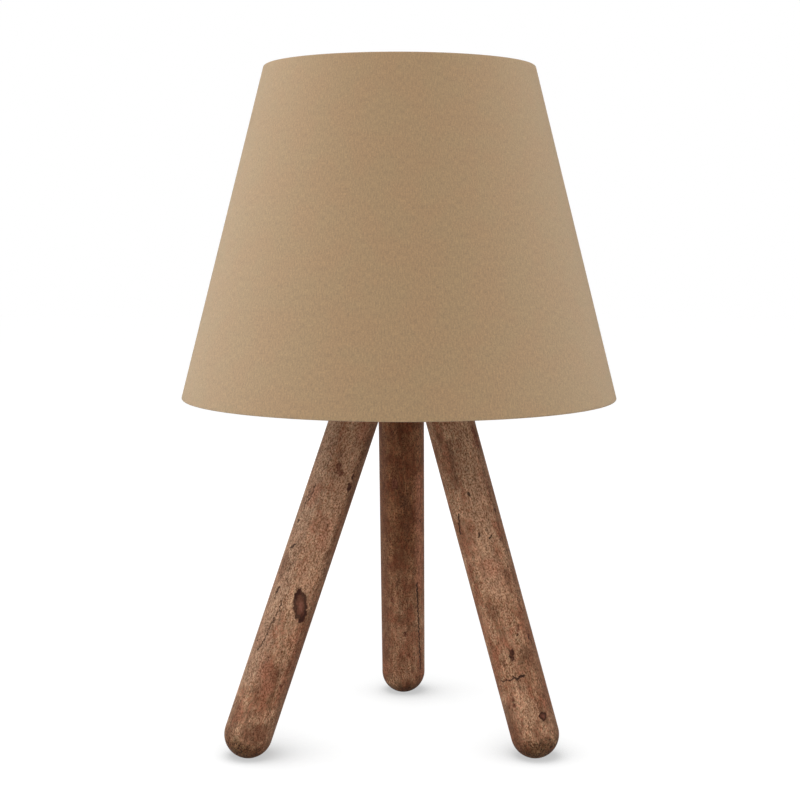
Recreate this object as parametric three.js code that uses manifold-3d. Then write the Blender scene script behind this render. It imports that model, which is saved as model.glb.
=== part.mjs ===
// A small table lamp: three leaning round wooden legs under a turned hub, and a
// conical hardback fabric shade hung on a lampholder with a candle bulb.
// Millimetres, +Z up. The origin is on the floor, on the axis of the shade, and
// the front of the lamp faces -Y.
import * as THREE from "three";
import { mergeVertices } from "three/addons/utils/BufferGeometryUtils.js";
import Module from "manifold-3d";

const wasm = await Module();
wasm.setup();

// Clearances
const fitGap = 0.3; // round and cut pieces that fit in or against each other
const runGap = 0.4; // threaded pieces that turn on each other
const overrun = 2; // how far a cutter passes the face that it cuts
const weldDistance = 0.0001; // corners closer than this are one corner

// Facets round each kind of piece
const shadeSides = 48;
const hubSides = 40;
const holderSides = 28;
const bulbSides = 24;
const legSides = 24;
const smallSides = 16;
const wireSides = 6;
const roundSteps = 3; // facets over a rounded edge
const foldSteps = 3; // facets round a folded corner of the cloth
const wrapSteps = 3; // facets of the cloth round a wire
const footSteps = 6; // facets from a foot's tip to its full width

// Legs: stained round rods with ball ends, each cut level against the hub
const legDiameter = 24;
const footFlatDiameter = 7; // the worn flat that each ball end stands on
const legSpacing = 0.5; // between two rods side by side under the hub
const footReachLeft = 83.7; // lamp axis to the middle of each foot
const footReachBack = 75.5;
const footReachRight = 77.6;
const seatShareLeft = 0.9685; // of the circle on which three rods just meet
const seatShareBack = 1.082;
const seatShareRight = 1.2047;

// Hub: a turned disc over the legs, with a nut recess and a cord groove beneath
const hubFootHeight = 199.5; // floor to the hub's underside
const hubThickness = 18;
const hubRimWidth = 2.5; // wood outside the widest leg top
const hubTopRoundRadius = 3;
const hubFootRoundRadius = 1;
const nutRecessDepth = 11;

// Leg screws: countersunk, straight down through the hub
const screwLength = 40;
const screwDiameter = 4;
const screwHeadDiameter = 8;
const screwHeadRimHeight = 0.5;
const screwTipLength = 6;
const screwSinkDepth = 0.6; // head below the hub's top

// Threaded tube with its nut and washers
const tubeDiameter = 10;
const tubeBore = 8;
const tubeProudLength = 1; // past the nut
const tubeGripShare = 0.9; // of the way to the lampholder's inner floor
const nutAcrossFlats = 14;
const nutHeight = 3;
const washerDiameter = 20;
const washerThickness = 1;

// Cord bush: a flanged sleeve where the groove opens at the hub's rim
const bushBore = 6.6;
const bushWall = 1;
const bushLength = 9;
const bushFlangeWidth = 1.8;
const bushFlangeThickness = 1.5;

// Bulb: candle shape on a 27 mm screw cap
const bulbDiameter = 35;
const bulbLength = 96;
const bulbCapDiameter = 26.5;
const bulbCapLength = 19.5;
const bulbCapWall = 0.5;
const bulbCapLipWidth = 3.5;
const bulbCapTaperHeight = 2.4; // rounding of the cap's lower edge
const bulbContactDiameter = 9;
const bulbContactHeight = 1.6;
const bulbInsulatorHeight = 4.4;
const bulbInsulatorDiameter = 11;
const bulbCollarLength = 14;
const bulbCollarRimWidth = 0.7; // collar past the cap
const bulbGlassWall = 1.2;
const bulbSeatShare = 0.92; // globe's width where it meets the collar

// Lampholder, from the screw shell outwards
const shellWall = 0.6;
const shellLipWidth = 4;
const skirtWall = 4.6;
const skirtLipHeight = 0.8;
const skirtChamferWidth = 0.8;
const skirtHeight = 21.5; // threaded sleeve above its shoulder
const shoulderWidth = 4.3;
const shoulderThickness = 2.5;
const spigotWall = 2.4;
const spigotLength = 3.2;
const capWall = 2.2;
const capFloorHeight = 9; // height of the cap's inner floor
const capLedgeHeight = 1.5; // from that floor up to the core's seat
const capLedgeWidth = 2.3;
const capCollarHeight = 5;
const capDomeHeight = 10;
const collarWall = 3.7;
const coreHeight = 6;
const coreNotchWidth = 8;
const coreNotchDepth = 4.6;
const coreWireHoleDiameter = 3.6;
const coreWireHoleSpacing = 8;
const contactLength = 14;
const contactWidth = 6;
const contactRiseHeight = 2.6;
const contactThickness = 0.5;
const terminalDiameter = 3;
const terminalLength = 4.6;
const terminalHeadDiameter = 5;
const terminalHeadHeight = 1.6;
const grubDiameter = 3;
const grubLength = 3.6;

// Clamp ring that holds the shade down on the shoulder
const clampHeight = 8;
const clampFlangeWidth = 4.9;
const clampFlangeThickness = 2.2;
const clampCollarWidth = 3;

// Shade: fabric folded over a stiff lining and two wire rings, with a dropped carrier
const shadeBottomDiameter = 220;
const shadeTopDiameter = 135.3;
const shadeHeight = 165.2;
const frameDropHeight = 100; // shade's top rim down to the shoulder that carries it
const fabricThickness = 0.6;
const liningThickness = 0.4;
const topFoldRadius = 1.2; // outer corner of the cloth at each rim
const bottomFoldRadius = 0.7;
const hemWidth = 10;
const wireDiameter = 3;
const armDiameter = 2.5;
const armCount = 3;
const armFirstTurn = 90;
const armHookLength = 9; // level run of an arm inside the top ring
const armFootLength = 4; // level run of an arm outside the carrier
const armBendLength = 6;
const armWeldLength = 1; // arm's end sunk in the carrier
const armSteps = 12;
const carrierSlackGap = 1; // carrier round the lampholder's sleeve
const carrierWidth = 6;
const carrierThickness = 2;

// Finishes
const stainedWood = { color: 0x8b6146, roughness: 0.55, metalness: 0 };
const tanFabric = { color: 0xb1977a, roughness: 0.95, metalness: 0 };
const whiteLining = { color: 0xe9e4da, roughness: 0.6, metalness: 0 };
const whiteWire = { color: 0xdedcd6, roughness: 0.45, metalness: 0.2 };
const blackPlastic = { color: 0x1d1c1b, roughness: 0.4, metalness: 0 };
const paleCeramic = { color: 0xe6e2d8, roughness: 0.5, metalness: 0 };
const brass = { color: 0xc29a4e, roughness: 0.3, metalness: 1 };
const zincSteel = { color: 0xb8babb, roughness: 0.35, metalness: 1 };
const nickel = { color: 0xc9c7c1, roughness: 0.28, metalness: 1 };
const opalGlass = { color: 0xf4f1ea, roughness: 0.25, metalness: 0 };
const whitePlastic = { color: 0xf0eeea, roughness: 0.4, metalness: 0 };

// Radii and levels that follow from the sizes above
const legRadius = legDiameter / 2;
const footCentreHeight = Math.sqrt(legRadius ** 2 - (footFlatDiameter / 2) ** 2);
const seatCircle = (legDiameter + legSpacing) / Math.sqrt(3);
const legs = [
  { side: "left", footReach: footReachLeft, footTurn: -152.7, seatShare: seatShareLeft, seatTurn: -144.8 },
  { side: "back", footReach: footReachBack, footTurn: 87.9, seatShare: seatShareBack, seatTurn: 87 },
  { side: "right", footReach: footReachRight, footTurn: -29.1, seatShare: seatShareRight, seatTurn: -18.1 },
].map(withAxis);
const hubRadius = Math.max(...legs.map((leg) => leg.topReach)) + hubRimWidth;
const hubTop = hubFootHeight + hubThickness;
const screwRadius = screwDiameter / 2;
const screwHeadRadius = screwHeadDiameter / 2;
const screwBite = screwLength + screwSinkDepth - hubThickness;

const tubeRadius = tubeDiameter / 2;
const holderBase = hubTop + washerThickness;
const bushRadius = bushBore / 2 + bushWall;
const bushLevel = hubFootHeight + bushRadius + fitGap;

const bulbCapRadius = bulbCapDiameter / 2;
const shellBoreRadius = bulbCapRadius + runGap;
const shellRadius = shellBoreRadius + shellWall;
const skirtBoreRadius = shellRadius + fitGap;
const skirtRadius = skirtBoreRadius + skirtWall;
const shoulderRadius = skirtRadius + shoulderWidth;
const spigotRadius = skirtBoreRadius + spigotWall;
const capBoreRadius = spigotRadius + fitGap;
const capRadius = capBoreRadius + capWall;
const collarBoreRadius = tubeRadius + fitGap;
const collarRadius = collarBoreRadius + collarWall;
const coreSeat = capFloorHeight + capLedgeHeight;
const coreTop = coreSeat + coreHeight;
const spigotFoot = coreTop + fitGap;
const capHeight = spigotFoot + spigotLength;
const shoulderTop = capHeight + shoulderThickness;
const skirtTop = shoulderTop + skirtHeight;
const shellTop = skirtTop - skirtLipHeight - fitGap;
const bulbSeat = coreTop + contactRiseHeight + fitGap;
const carrierLevel = holderBase + shoulderTop;

const slope = Math.atan((shadeBottomDiameter - shadeTopDiameter) / 2 / shadeHeight);
const shadeFoot = frameDropHeight - shadeHeight;
const wrapRadius = wireDiameter / 2 + fitGap + fabricThickness;
const wireInset = fabricThickness + fitGap + liningThickness + fitGap + wireDiameter / 2;
const topWire = wireCentre(frameDropHeight - wrapRadius);
const bottomWire = wireCentre(shadeFoot + wrapRadius);
const carrierBoreRadius = skirtRadius + carrierSlackGap;
const carrierRadius = carrierBoreRadius + carrierWidth;

function radians(degrees) {
  return (degrees * Math.PI) / 180;
}

// Point at a distance from the lamp's axis, in a direction from +X, at a height.
function polar(reach, turn, height) {
  return new THREE.Vector3(reach * Math.cos(radians(turn)), reach * Math.sin(radians(turn)), height);
}

// A leg's axis from the middle of its ball foot to the middle of its seat, its
// lean, and the furthest that its level top reaches from the lamp's axis.
function withAxis(leg) {
  const foot = polar(leg.footReach, leg.footTurn, footCentreHeight);
  const seat = polar(seatCircle * leg.seatShare, leg.seatTurn, hubFootHeight);
  const along = seat.clone().sub(foot).normalize();
  const lean = Math.acos(along.z);
  const topReach = seatCircle * leg.seatShare + legRadius / Math.cos(lean);
  return { ...leg, foot, seat, along, lean, topReach };
}

// Radius of the shade's outer face at a level measured from the carrier.
function coneRadius(level) {
  return shadeBottomDiameter / 2 - (level - shadeFoot) * Math.tan(slope);
}

// Where a point lies that is so far inside the shade's outer face, at a level.
function insideCone(inset, level) {
  return [coneRadius(level) - inset / Math.cos(slope), level];
}

// Where a shade wire lies, behind the lining.
function wireCentre(level) {
  return { radius: insideCone(wireInset, level)[0], level };
}

// Solid of revolution about +Z from [radius, height] points, axis to axis.
function turned(outline, sides) {
  const points = outline.map(([radius, height]) => new THREE.Vector2(radius, height));
  return new THREE.LatheGeometry(points, sides).rotateX(Math.PI / 2);
}

// Ring of revolution about +Z: the outline closes on itself, clear of the axis.
function turnedRing(outline, sides) {
  return turned([...outline, outline[0]], sides);
}

// Points of a round edge, from one angle to another, in degrees.
function arc([radius, height], size, from, to, steps) {
  const turn = (step) => radians(from + ((to - from) * step) / steps);
  const point = (_, step) => [radius + size * Math.cos(turn(step)), height + size * Math.sin(turn(step))];
  return Array.from({ length: steps + 1 }, point);
}

// Round rod along +Z between two levels.
function rod(radius, low, high, sides) {
  return turned([[0, low], [radius, low], [radius, high], [0, high]], sides);
}

// Block from its lowest corner to its highest.
function block(low, high) {
  const size = high.clone().sub(low);
  const centre = high.clone().add(low).multiplyScalar(0.5);
  return new THREE.BoxGeometry(...size.toArray()).translate(...centre.toArray());
}

// Flat outline of a regular polygon that a circle of this radius goes round.
function polygon(radius, sides) {
  const corner = (_, side) => {
    const turn = (2 * Math.PI * side) / sides;
    return new THREE.Vector2(radius * Math.cos(turn), radius * Math.sin(turn));
  };
  return Array.from({ length: sides }, corner);
}

// Turns a piece made along +Z to lie along a direction, and moves it to a point.
function laid(geometry, direction, point) {
  const upright = new THREE.Vector3(0, 0, 1);
  const turn = new THREE.Quaternion().setFromUnitVectors(upright, direction);
  return geometry.applyQuaternion(turn).translate(...point.toArray());
}

function solidFrom(geometry) {
  const bare = geometry.clone();
  bare.deleteAttribute("normal");
  bare.deleteAttribute("uv");
  const welded = mergeVertices(bare, weldDistance);
  return new wasm.Manifold(
    new wasm.Mesh({
      numProp: 3,
      vertProperties: new Float32Array(welded.attributes.position.array),
      triVerts: new Uint32Array(welded.index.array),
    }),
  );
}

function geometryFrom(solid) {
  const mesh = solid.getMesh();
  const geometry = new THREE.BufferGeometry();
  geometry.setAttribute("position", new THREE.BufferAttribute(mesh.vertProperties, mesh.numProp));
  geometry.setIndex(new THREE.BufferAttribute(mesh.triVerts, 1));
  return geometry;
}

function cut(geometry, ...cutters) {
  const solid = cutters.reduce((left, cutter) => left.subtract(solidFrom(cutter)), solidFrom(geometry));
  return geometryFrom(solid);
}

function joined(...geometries) {
  const solid = geometries.map(solidFrom).reduce((sum, next) => sum.add(next));
  return geometryFrom(solid);
}

function piece(name, geometry, finish) {
  geometry.computeVertexNormals();
  const mesh = new THREE.Mesh(geometry, new THREE.MeshStandardMaterial({ ...finish, flatShading: true }));
  mesh.name = name;
  return mesh;
}

function groupAt(level, pieces) {
  const group = new THREE.Group();
  group.position.z = level;
  group.add(...pieces);
  return group;
}

// Where a leg's screw goes down: out along the lean from the seat's middle, so
// that half of its bite lies on each side of the leg's axis.
function screwPlace(leg) {
  const outward = new THREE.Vector3(-leg.along.x, -leg.along.y, 0).normalize();
  return leg.seat.clone().addScaledVector(outward, (Math.tan(leg.lean) * screwBite) / 2);
}

// A round rod with a ball foot, cut level under the hub and flat on the floor,
// with a pilot hole for its screw.
function leg(plan) {
  const length = plan.foot.distanceTo(plan.seat) + legRadius * Math.tan(plan.lean) + overrun;
  const outline = [...arc([0, 0], legRadius, -90, 0, footSteps), [legRadius, length], [0, length]];
  outline[0][0] = 0;
  const blank = laid(turned(outline, legSides), plan.along, plan.foot);
  const span = new THREE.Vector3(legDiameter, legDiameter, 0);
  const top = plan.seat.clone().setZ(hubFootHeight - fitGap);
  const overHub = block(top.clone().sub(span), top.clone().add(span).setZ(hubFootHeight + legDiameter));
  const floor = plan.foot.clone().setZ(0);
  const underFloor = block(floor.clone().sub(span).setZ(-legRadius), floor.clone().add(span));
  const place = screwPlace(plan);
  const pilotFoot = hubFootHeight - screwBite - fitGap;
  const pilot = rod(screwRadius + fitGap, pilotFoot, hubFootHeight + overrun, smallSides);
  return cut(blank, overHub, underFloor, pilot.translate(place.x, place.y, 0));
}

// Countersunk wood screw, head up, with the top of its head at zero.
function legScrew() {
  const neck = screwHeadRimHeight + screwHeadRadius - screwRadius;
  const outline = [
    [0, -screwLength],
    [screwRadius, screwTipLength - screwLength],
    [screwRadius, -neck],
    [screwHeadRadius, -screwHeadRimHeight],
    [screwHeadRadius, 0],
    [0, 0],
  ];
  return turned(outline, smallSides);
}

// Clearance hole and countersink for a leg screw, measured from the hub's top.
function screwHole() {
  const hole = screwRadius + fitGap;
  const sink = screwHeadRadius + fitGap;
  const rim = -screwSinkDepth - screwHeadRimHeight;
  const outline = [
    [0, -hubThickness - overrun],
    [hole, -hubThickness - overrun],
    [hole, rim + hole - sink],
    [sink, rim],
    [sink, overrun],
    [0, overrun],
  ];
  return turned(outline, smallSides);
}

// Groove for the cord under the hub, from the nut recess out to the rim at -X,
// with a round roof that the bush fits.
function cordGroove() {
  const half = bushRadius + fitGap;
  const reach = hubRadius + overrun;
  const low = new THREE.Vector3(-reach, -half, hubFootHeight - overrun);
  const slot = block(low, new THREE.Vector3(0, half, bushLevel));
  const inward = new THREE.Vector3(-1, 0, 0);
  const roof = laid(rod(half, 0, reach, smallSides), inward, new THREE.Vector3(0, 0, bushLevel));
  return joined(slot, roof);
}

function hub() {
  const recess = washerDiameter / 2 + fitGap;
  const bore = tubeRadius + fitGap;
  const topEdge = [hubRadius - hubTopRoundRadius, hubThickness - hubTopRoundRadius];
  const outline = [
    [recess, 0],
    ...arc([hubRadius - hubFootRoundRadius, hubFootRoundRadius], hubFootRoundRadius, -90, 0, 1),
    ...arc(topEdge, hubTopRoundRadius, 0, 90, roundSteps),
    [bore, hubThickness],
    [bore, nutRecessDepth],
    [recess, nutRecessDepth],
  ];
  const disc = turnedRing(outline, hubSides).translate(0, 0, hubFootHeight);
  const holes = legs.map((plan) => screwHole().translate(...screwPlace(plan).setZ(hubTop).toArray()));
  return cut(disc, ...holes, cordGroove());
}

// Tube from just under the nut to most of the way up the lampholder's collar.
function threadedTube() {
  const foot = hubFootHeight + nutRecessDepth - washerThickness - nutHeight - tubeProudLength;
  const head = holderBase + capFloorHeight * tubeGripShare;
  const bore = tubeBore / 2;
  return turnedRing([[bore, foot], [tubeRadius, foot], [tubeRadius, head], [bore, head]], smallSides);
}

function tubeNut() {
  const corner = nutAcrossFlats / 2 / Math.cos(Math.PI / 6);
  const shape = new THREE.Shape(polygon(corner, 6));
  shape.holes.push(new THREE.Path(polygon(tubeRadius + fitGap, smallSides)));
  const nut = new THREE.ExtrudeGeometry(shape, { depth: nutHeight, bevelEnabled: false });
  return nut.translate(0, 0, hubFootHeight + nutRecessDepth - washerThickness - nutHeight);
}

function washer(level) {
  const bore = tubeRadius + fitGap;
  const edge = washerDiameter / 2;
  const high = level + washerThickness;
  return turnedRing([[bore, level], [edge, level], [edge, high], [bore, high]], smallSides);
}

function cordBush() {
  const bore = bushBore / 2;
  const flange = bushRadius + bushFlangeWidth;
  const outline = [
    [bore, -bushLength],
    [bushRadius, -bushLength],
    [bushRadius, 0],
    [flange, 0],
    [flange, bushFlangeThickness],
    [bore, bushFlangeThickness],
  ];
  const mouth = new THREE.Vector3(-hubRadius - fitGap, 0, bushLevel);
  return laid(turnedRing(outline, smallSides), new THREE.Vector3(-1, 0, 0), mouth);
}

// Domed lower half of the lampholder: a collar on the tube, a cavity for the
// core and a mouth for the skirt's spigot. A radial hole takes the grub screw.
function holderCap() {
  const ledgeRadius = capBoreRadius - capLedgeWidth;
  const dome = arc([0, 0], 1, -90, 0, footSteps).map(([across, up]) => [
    collarRadius + (capRadius - collarRadius) * across,
    capCollarHeight + capDomeHeight * (1 + up),
  ]);
  const outline = [
    [collarBoreRadius, 0],
    [collarRadius, 0],
    ...dome,
    [capRadius, capHeight],
    [capBoreRadius, capHeight],
    [capBoreRadius, coreSeat],
    [ledgeRadius, coreSeat],
    [ledgeRadius, capFloorHeight],
    [collarBoreRadius, capFloorHeight],
  ];
  const hole = rod(grubDiameter / 2 + fitGap, 0, collarRadius + overrun, smallSides);
  return cut(turnedRing(outline, holderSides), laid(hole, new THREE.Vector3(0, 1, 0), grubCentre()));
}

function grubCentre() {
  return new THREE.Vector3(0, 0, capCollarHeight / 2);
}

// Grub screw through the collar, its tip against the tube.
function grubScrew() {
  const tip = tubeRadius + fitGap;
  const screw = rod(grubDiameter / 2, tip, tip + grubLength, smallSides);
  return laid(screw, new THREE.Vector3(0, 1, 0), grubCentre());
}

// Insulating core: two side notches for the terminals and two wire holes.
function holderCore() {
  const half = coreNotchWidth / 2;
  const face = spigotRadius - coreNotchDepth;
  const low = coreSeat - overrun;
  const high = coreTop + overrun;
  const cutters = [-1, 1].flatMap((side) => [
    block(new THREE.Vector3(-half, 0, low), new THREE.Vector3(half, spigotRadius, high)).translate(
      0,
      side > 0 ? face : -face - spigotRadius,
      0,
    ),
    laid(
      rod(terminalDiameter / 2 + fitGap, face - terminalLength, face + overrun, smallSides),
      new THREE.Vector3(0, side, 0),
      terminalCentre(),
    ),
    rod(coreWireHoleDiameter / 2, low, high, smallSides).translate(side * coreWireHoleSpacing, 0, 0),
  ]);
  return cut(rod(spigotRadius, coreSeat, coreTop, holderSides), ...cutters);
}

function terminalCentre() {
  return new THREE.Vector3(0, 0, (coreSeat + coreTop) / 2);
}

// Terminal screw in a notch of the core, on one side or the other.
function terminalScrew(side) {
  const seat = spigotRadius - coreNotchDepth + fitGap;
  const shank = terminalDiameter / 2;
  const head = terminalHeadDiameter / 2;
  const tip = seat - terminalLength + fitGap;
  const end = seat + terminalHeadHeight;
  const outline = [[0, tip], [shank, tip], [shank, seat], [head, seat], [head, end], [0, end]];
  return laid(turned(outline, smallSides), new THREE.Vector3(0, side, 0), terminalCentre());
}

// Sprung brass tongue on the core: a flat foot, a rise and a flat nose.
function centreContact() {
  const footEndShare = -0.2;
  const noseStartShare = 0.1;
  const half = contactLength / 2;
  const rise = contactRiseHeight - contactThickness;
  const side = [
    [-half, 0],
    [footEndShare * contactLength, 0],
    [noseStartShare * contactLength, rise],
    [half, rise],
    [half, contactRiseHeight],
    [noseStartShare * contactLength - contactThickness, contactRiseHeight],
    [footEndShare * contactLength - contactThickness, contactThickness],
    [-half, contactThickness],
  ];
  const shape = new THREE.Shape(side.map(([along, up]) => new THREE.Vector2(along, up)));
  const strip = new THREE.ExtrudeGeometry(shape, { depth: contactWidth, bevelEnabled: false });
  return strip.rotateX(Math.PI / 2).translate(0, contactWidth / 2, coreTop);
}

// Brass screw shell: a thin tube with an inward lip on the core.
function screwShell() {
  const lip = shellBoreRadius - shellLipWidth;
  const outline = [
    [lip, coreTop],
    [shellRadius, coreTop],
    [shellRadius, shellTop],
    [shellBoreRadius, shellTop],
    [shellBoreRadius, coreTop + shellWall],
    [lip, coreTop + shellWall],
  ];
  return turnedRing(outline, holderSides);
}

// Upper half of the lampholder: spigot, shoulder, outer sleeve and retaining lip.
function holderSkirt() {
  const lip = shellBoreRadius + fitGap;
  const outline = [
    [skirtBoreRadius, spigotFoot],
    [spigotRadius, spigotFoot],
    [spigotRadius, capHeight],
    [shoulderRadius, capHeight],
    [shoulderRadius, shoulderTop],
    [skirtRadius, shoulderTop],
    [skirtRadius, skirtTop - skirtChamferWidth],
    [skirtRadius - skirtChamferWidth, skirtTop],
    [lip, skirtTop],
    [lip, skirtTop - skirtLipHeight],
    [skirtBoreRadius, skirtTop - skirtLipHeight],
  ];
  return turnedRing(outline, holderSides);
}

// Clamp ring over the carrier, running on the lampholder's sleeve.
function clampRing() {
  const bore = skirtRadius + runGap;
  const flange = bore + clampFlangeWidth;
  const collar = bore + clampCollarWidth;
  const low = carrierThickness;
  const high = low + clampHeight;
  const step = low + clampFlangeThickness;
  const outline = [[bore, low], [flange, low], [flange, step], [collar, step], [collar, high], [bore, high]];
  return turnedRing(outline, holderSides);
}

// Cloth cover. In section it runs from the top hem inside, over the top wire,
// round a tight corner, down the cone, and back in the same way at the bottom.
// Each hem leans out from its wire until its free edge meets the lining. Both
// faces follow one path, and the inner one is a thickness inside the outer.
function shadeFabric() {
  const middle = wrapRadius - fabricThickness / 2;
  const hemShift = (wireDiameter - fabricThickness) / 2;
  const tuck =
    Math.acos(-hemShift / Math.hypot(middle, hemWidth)) - Math.atan2(hemWidth, middle);
  const lean = (slope * 180) / Math.PI;
  const turnIn = 180 + (tuck * 180) / Math.PI;
  const topFold = insideCone(topFoldRadius, frameDropHeight - topFoldRadius);
  const bottomFold = insideCone(bottomFoldRadius, shadeFoot + bottomFoldRadius);
  const wrap = (wire, size, from, to) => arc([wire.radius, wire.level], size, from, to, wrapSteps);
  const hemEnd = (wire, size, sense) => {
    const out = slope + sense * radians(turnIn);
    const across = wire.radius + size * Math.cos(out) - sense * hemWidth * Math.sin(out);
    return [across, wire.level + size * Math.sin(out) + sense * hemWidth * Math.cos(out)];
  };
  const face = (inset) => [
    hemEnd(topWire, wrapRadius - inset, 1),
    ...wrap(topWire, wrapRadius - inset, lean + turnIn, 90),
    ...arc(topFold, topFoldRadius - inset, 90, lean, foldSteps),
    ...arc(bottomFold, bottomFoldRadius - inset, lean, -90, foldSteps),
    ...wrap(bottomWire, wrapRadius - inset, -90, lean - turnIn),
    hemEnd(bottomWire, wrapRadius - inset, -1),
  ];
  const cover = turnedRing([...face(0).reverse(), ...face(fabricThickness)], shadeSides);
  return cut(cover, ...armTurns().map(hemWindow));
}

// Window through the inner side of the top hem, where an arm leaves the wire.
function hemWindow(turn) {
  const half = armDiameter / 2 + fitGap;
  const inner = topWire.radius - wrapRadius - overrun;
  const low = new THREE.Vector3(inner, -half, topWire.level - half);
  const window = block(low, new THREE.Vector3(topWire.radius, half, topWire.level + half));
  return window.rotateZ(radians(turn));
}

// Stiff lining: a thin cone behind the cloth that ends in the folds at the rims.
function shadeLining() {
  const outer = fabricThickness + fitGap;
  const inner = outer + liningThickness;
  const high = frameDropHeight - Math.max(topFoldRadius, outer);
  const low = shadeFoot + Math.max(bottomFoldRadius, outer);
  const outline = [
    insideCone(inner, low),
    insideCone(outer, low),
    insideCone(outer, high),
    insideCone(inner, high),
  ];
  return turnedRing(outline, shadeSides);
}

function wireRing(wire) {
  const ring = new THREE.TorusGeometry(wire.radius, wireDiameter / 2, wireSides, shadeSides);
  return ring.translate(0, 0, wire.level);
}

function armTurns() {
  return Array.from({ length: armCount }, (_, arm) => armFirstTurn + (360 * arm) / armCount);
}

// Straight runs with their corners rounded over a bend's length.
function bentWire(corners, bend) {
  const path = new THREE.CurvePath();
  let from = corners[0];
  corners.slice(1, -1).forEach((corner, index) => {
    const towards = corners[index + 2];
    const enter = corner.clone().add(from.clone().sub(corner).setLength(bend));
    const leave = corner.clone().add(towards.clone().sub(corner).setLength(bend));
    path.add(new THREE.LineCurve3(from, enter));
    path.add(new THREE.QuadraticBezierCurve3(enter, corner, leave));
    from = leave;
  });
  path.add(new THREE.LineCurve3(from, corners.at(-1)));
  return path;
}

// One arm: level off the top wire, steeply down, and level into the carrier.
function frameArm(turn) {
  const middle = carrierThickness / 2;
  const bend = Math.min(armBendLength, armHookLength / 2, armFootLength / 2);
  const corners = [
    polar(topWire.radius, turn, topWire.level),
    polar(topWire.radius - armHookLength, turn, topWire.level),
    polar(carrierRadius + armFootLength, turn, middle),
    polar(carrierRadius - armWeldLength, turn, middle),
  ];
  const shape = new THREE.Shape(polygon(armDiameter / 2, wireSides));
  return new THREE.ExtrudeGeometry(shape, { steps: armSteps, extrudePath: bentWire(corners, bend) });
}

// Welded frame: the top wire, the arms and the flat carrier ring.
function shadeFrame() {
  const carrier = [
    [carrierBoreRadius, 0],
    [carrierRadius, 0],
    [carrierRadius, carrierThickness],
    [carrierBoreRadius, carrierThickness],
  ];
  return joined(wireRing(topWire), turnedRing(carrier, holderSides), ...armTurns().map(frameArm));
}

// Bulb pieces, measured up from the tip of the centre contact.
const insulatorTop = bulbContactHeight + bulbInsulatorHeight;
const bulbCapTop = insulatorTop + bulbCapLength;
const bulbCollarTop = bulbCapTop + bulbCollarLength;

function bulbContact() {
  const edge = bulbContactDiameter / 2;
  const rim = bulbContactHeight / 2;
  const high = bulbContactHeight;
  return turned([[0, 0], [edge - rim, 0], [edge, rim], [edge, high], [0, high]], smallSides);
}

function bulbInsulator() {
  const low = bulbInsulatorDiameter / 2;
  const high = bulbCapRadius - bulbCapTaperHeight;
  const foot = bulbContactHeight;
  return turned([[0, foot], [low, foot], [high, insulatorTop], [0, insulatorTop]], bulbSides);
}

// Screw cap: a thin cup with a rounded lower edge and an inward lip.
function bulbCap() {
  const foot = bulbCapRadius - bulbCapTaperHeight;
  const lip = foot - bulbCapLipWidth;
  const inside = bulbCapRadius - bulbCapWall;
  const edge = insulatorTop + bulbCapTaperHeight;
  const outline = [
    [lip, insulatorTop],
    [foot, insulatorTop],
    [bulbCapRadius, edge],
    [bulbCapRadius, bulbCapTop],
    [inside, bulbCapTop],
    [inside, edge],
    [foot - bulbCapWall / 2, insulatorTop + bulbCapWall],
    [lip, insulatorTop + bulbCapWall],
  ];
  return turnedRing(outline, bulbSides);
}

// Plastic collar: a plug inside the screw cap and a flare up to the globe.
function bulbCollar() {
  const plug = bulbCapRadius - bulbCapWall - fitGap;
  const foot = insulatorTop + bulbCapTaperHeight + fitGap;
  const rim = bulbCapRadius + bulbCollarRimWidth;
  const seat = (bulbDiameter / 2) * bulbSeatShare;
  const outline = [
    [0, foot],
    [plug, foot],
    [plug, bulbCapTop],
    [rim, bulbCapTop],
    [rim, bulbCapTop + bulbCollarRimWidth],
    [seat, bulbCollarTop],
    [0, bulbCollarTop],
  ];
  return turned(outline, bulbSides);
}

// Candle outline as shares of the globe's half width and height, base to tip.
const candleShares = [
  [bulbSeatShare, 0],
  [1, 0.16],
  [0.96, 0.34],
  [0.8, 0.54],
  [0.54, 0.74],
  [0.27, 0.9],
  [0.1, 0.98],
];

// Opal globe: an open shell whose inner face follows the outer one.
function bulbGlobe() {
  const height = bulbLength - bulbCollarTop;
  const face = (inset) =>
    candleShares.map(([across, up]) => [
      (bulbDiameter / 2 - inset) * across,
      bulbCollarTop + (height - inset) * up,
    ]);
  const outline = [
    [0, bulbLength - bulbGlassWall],
    ...face(bulbGlassWall).reverse(),
    ...face(0),
    [0, bulbLength],
  ];
  return turned(outline, bulbSides);
}

const stand = groupAt(0, [
  ...legs.map((plan) => piece("leg_" + plan.side, leg(plan), stainedWood)),
  piece("hub", hub(), stainedWood),
  ...legs.map((plan) => {
    const screw = piece("leg_screw_" + plan.side, legScrew(), zincSteel);
    screw.position.copy(screwPlace(plan)).setZ(hubTop - screwSinkDepth);
    return screw;
  }),
  piece("threaded_tube", threadedTube(), zincSteel),
  piece("tube_nut", tubeNut(), zincSteel),
  piece("washer_under", washer(hubFootHeight + nutRecessDepth - washerThickness), zincSteel),
  piece("washer_over", washer(hubTop), zincSteel),
  piece("cord_bush", cordBush(), blackPlastic),
]);

const lampholder = groupAt(holderBase, [
  piece("lampholder_cap", holderCap(), blackPlastic),
  piece("cap_grub_screw", grubScrew(), zincSteel),
  piece("lampholder_core", holderCore(), paleCeramic),
  piece("terminal_screw_live", terminalScrew(1), brass),
  piece("terminal_screw_neutral", terminalScrew(-1), brass),
  piece("centre_contact", centreContact(), brass),
  piece("screw_shell", screwShell(), brass),
  piece("lampholder_skirt", holderSkirt(), blackPlastic),
]);

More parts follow.
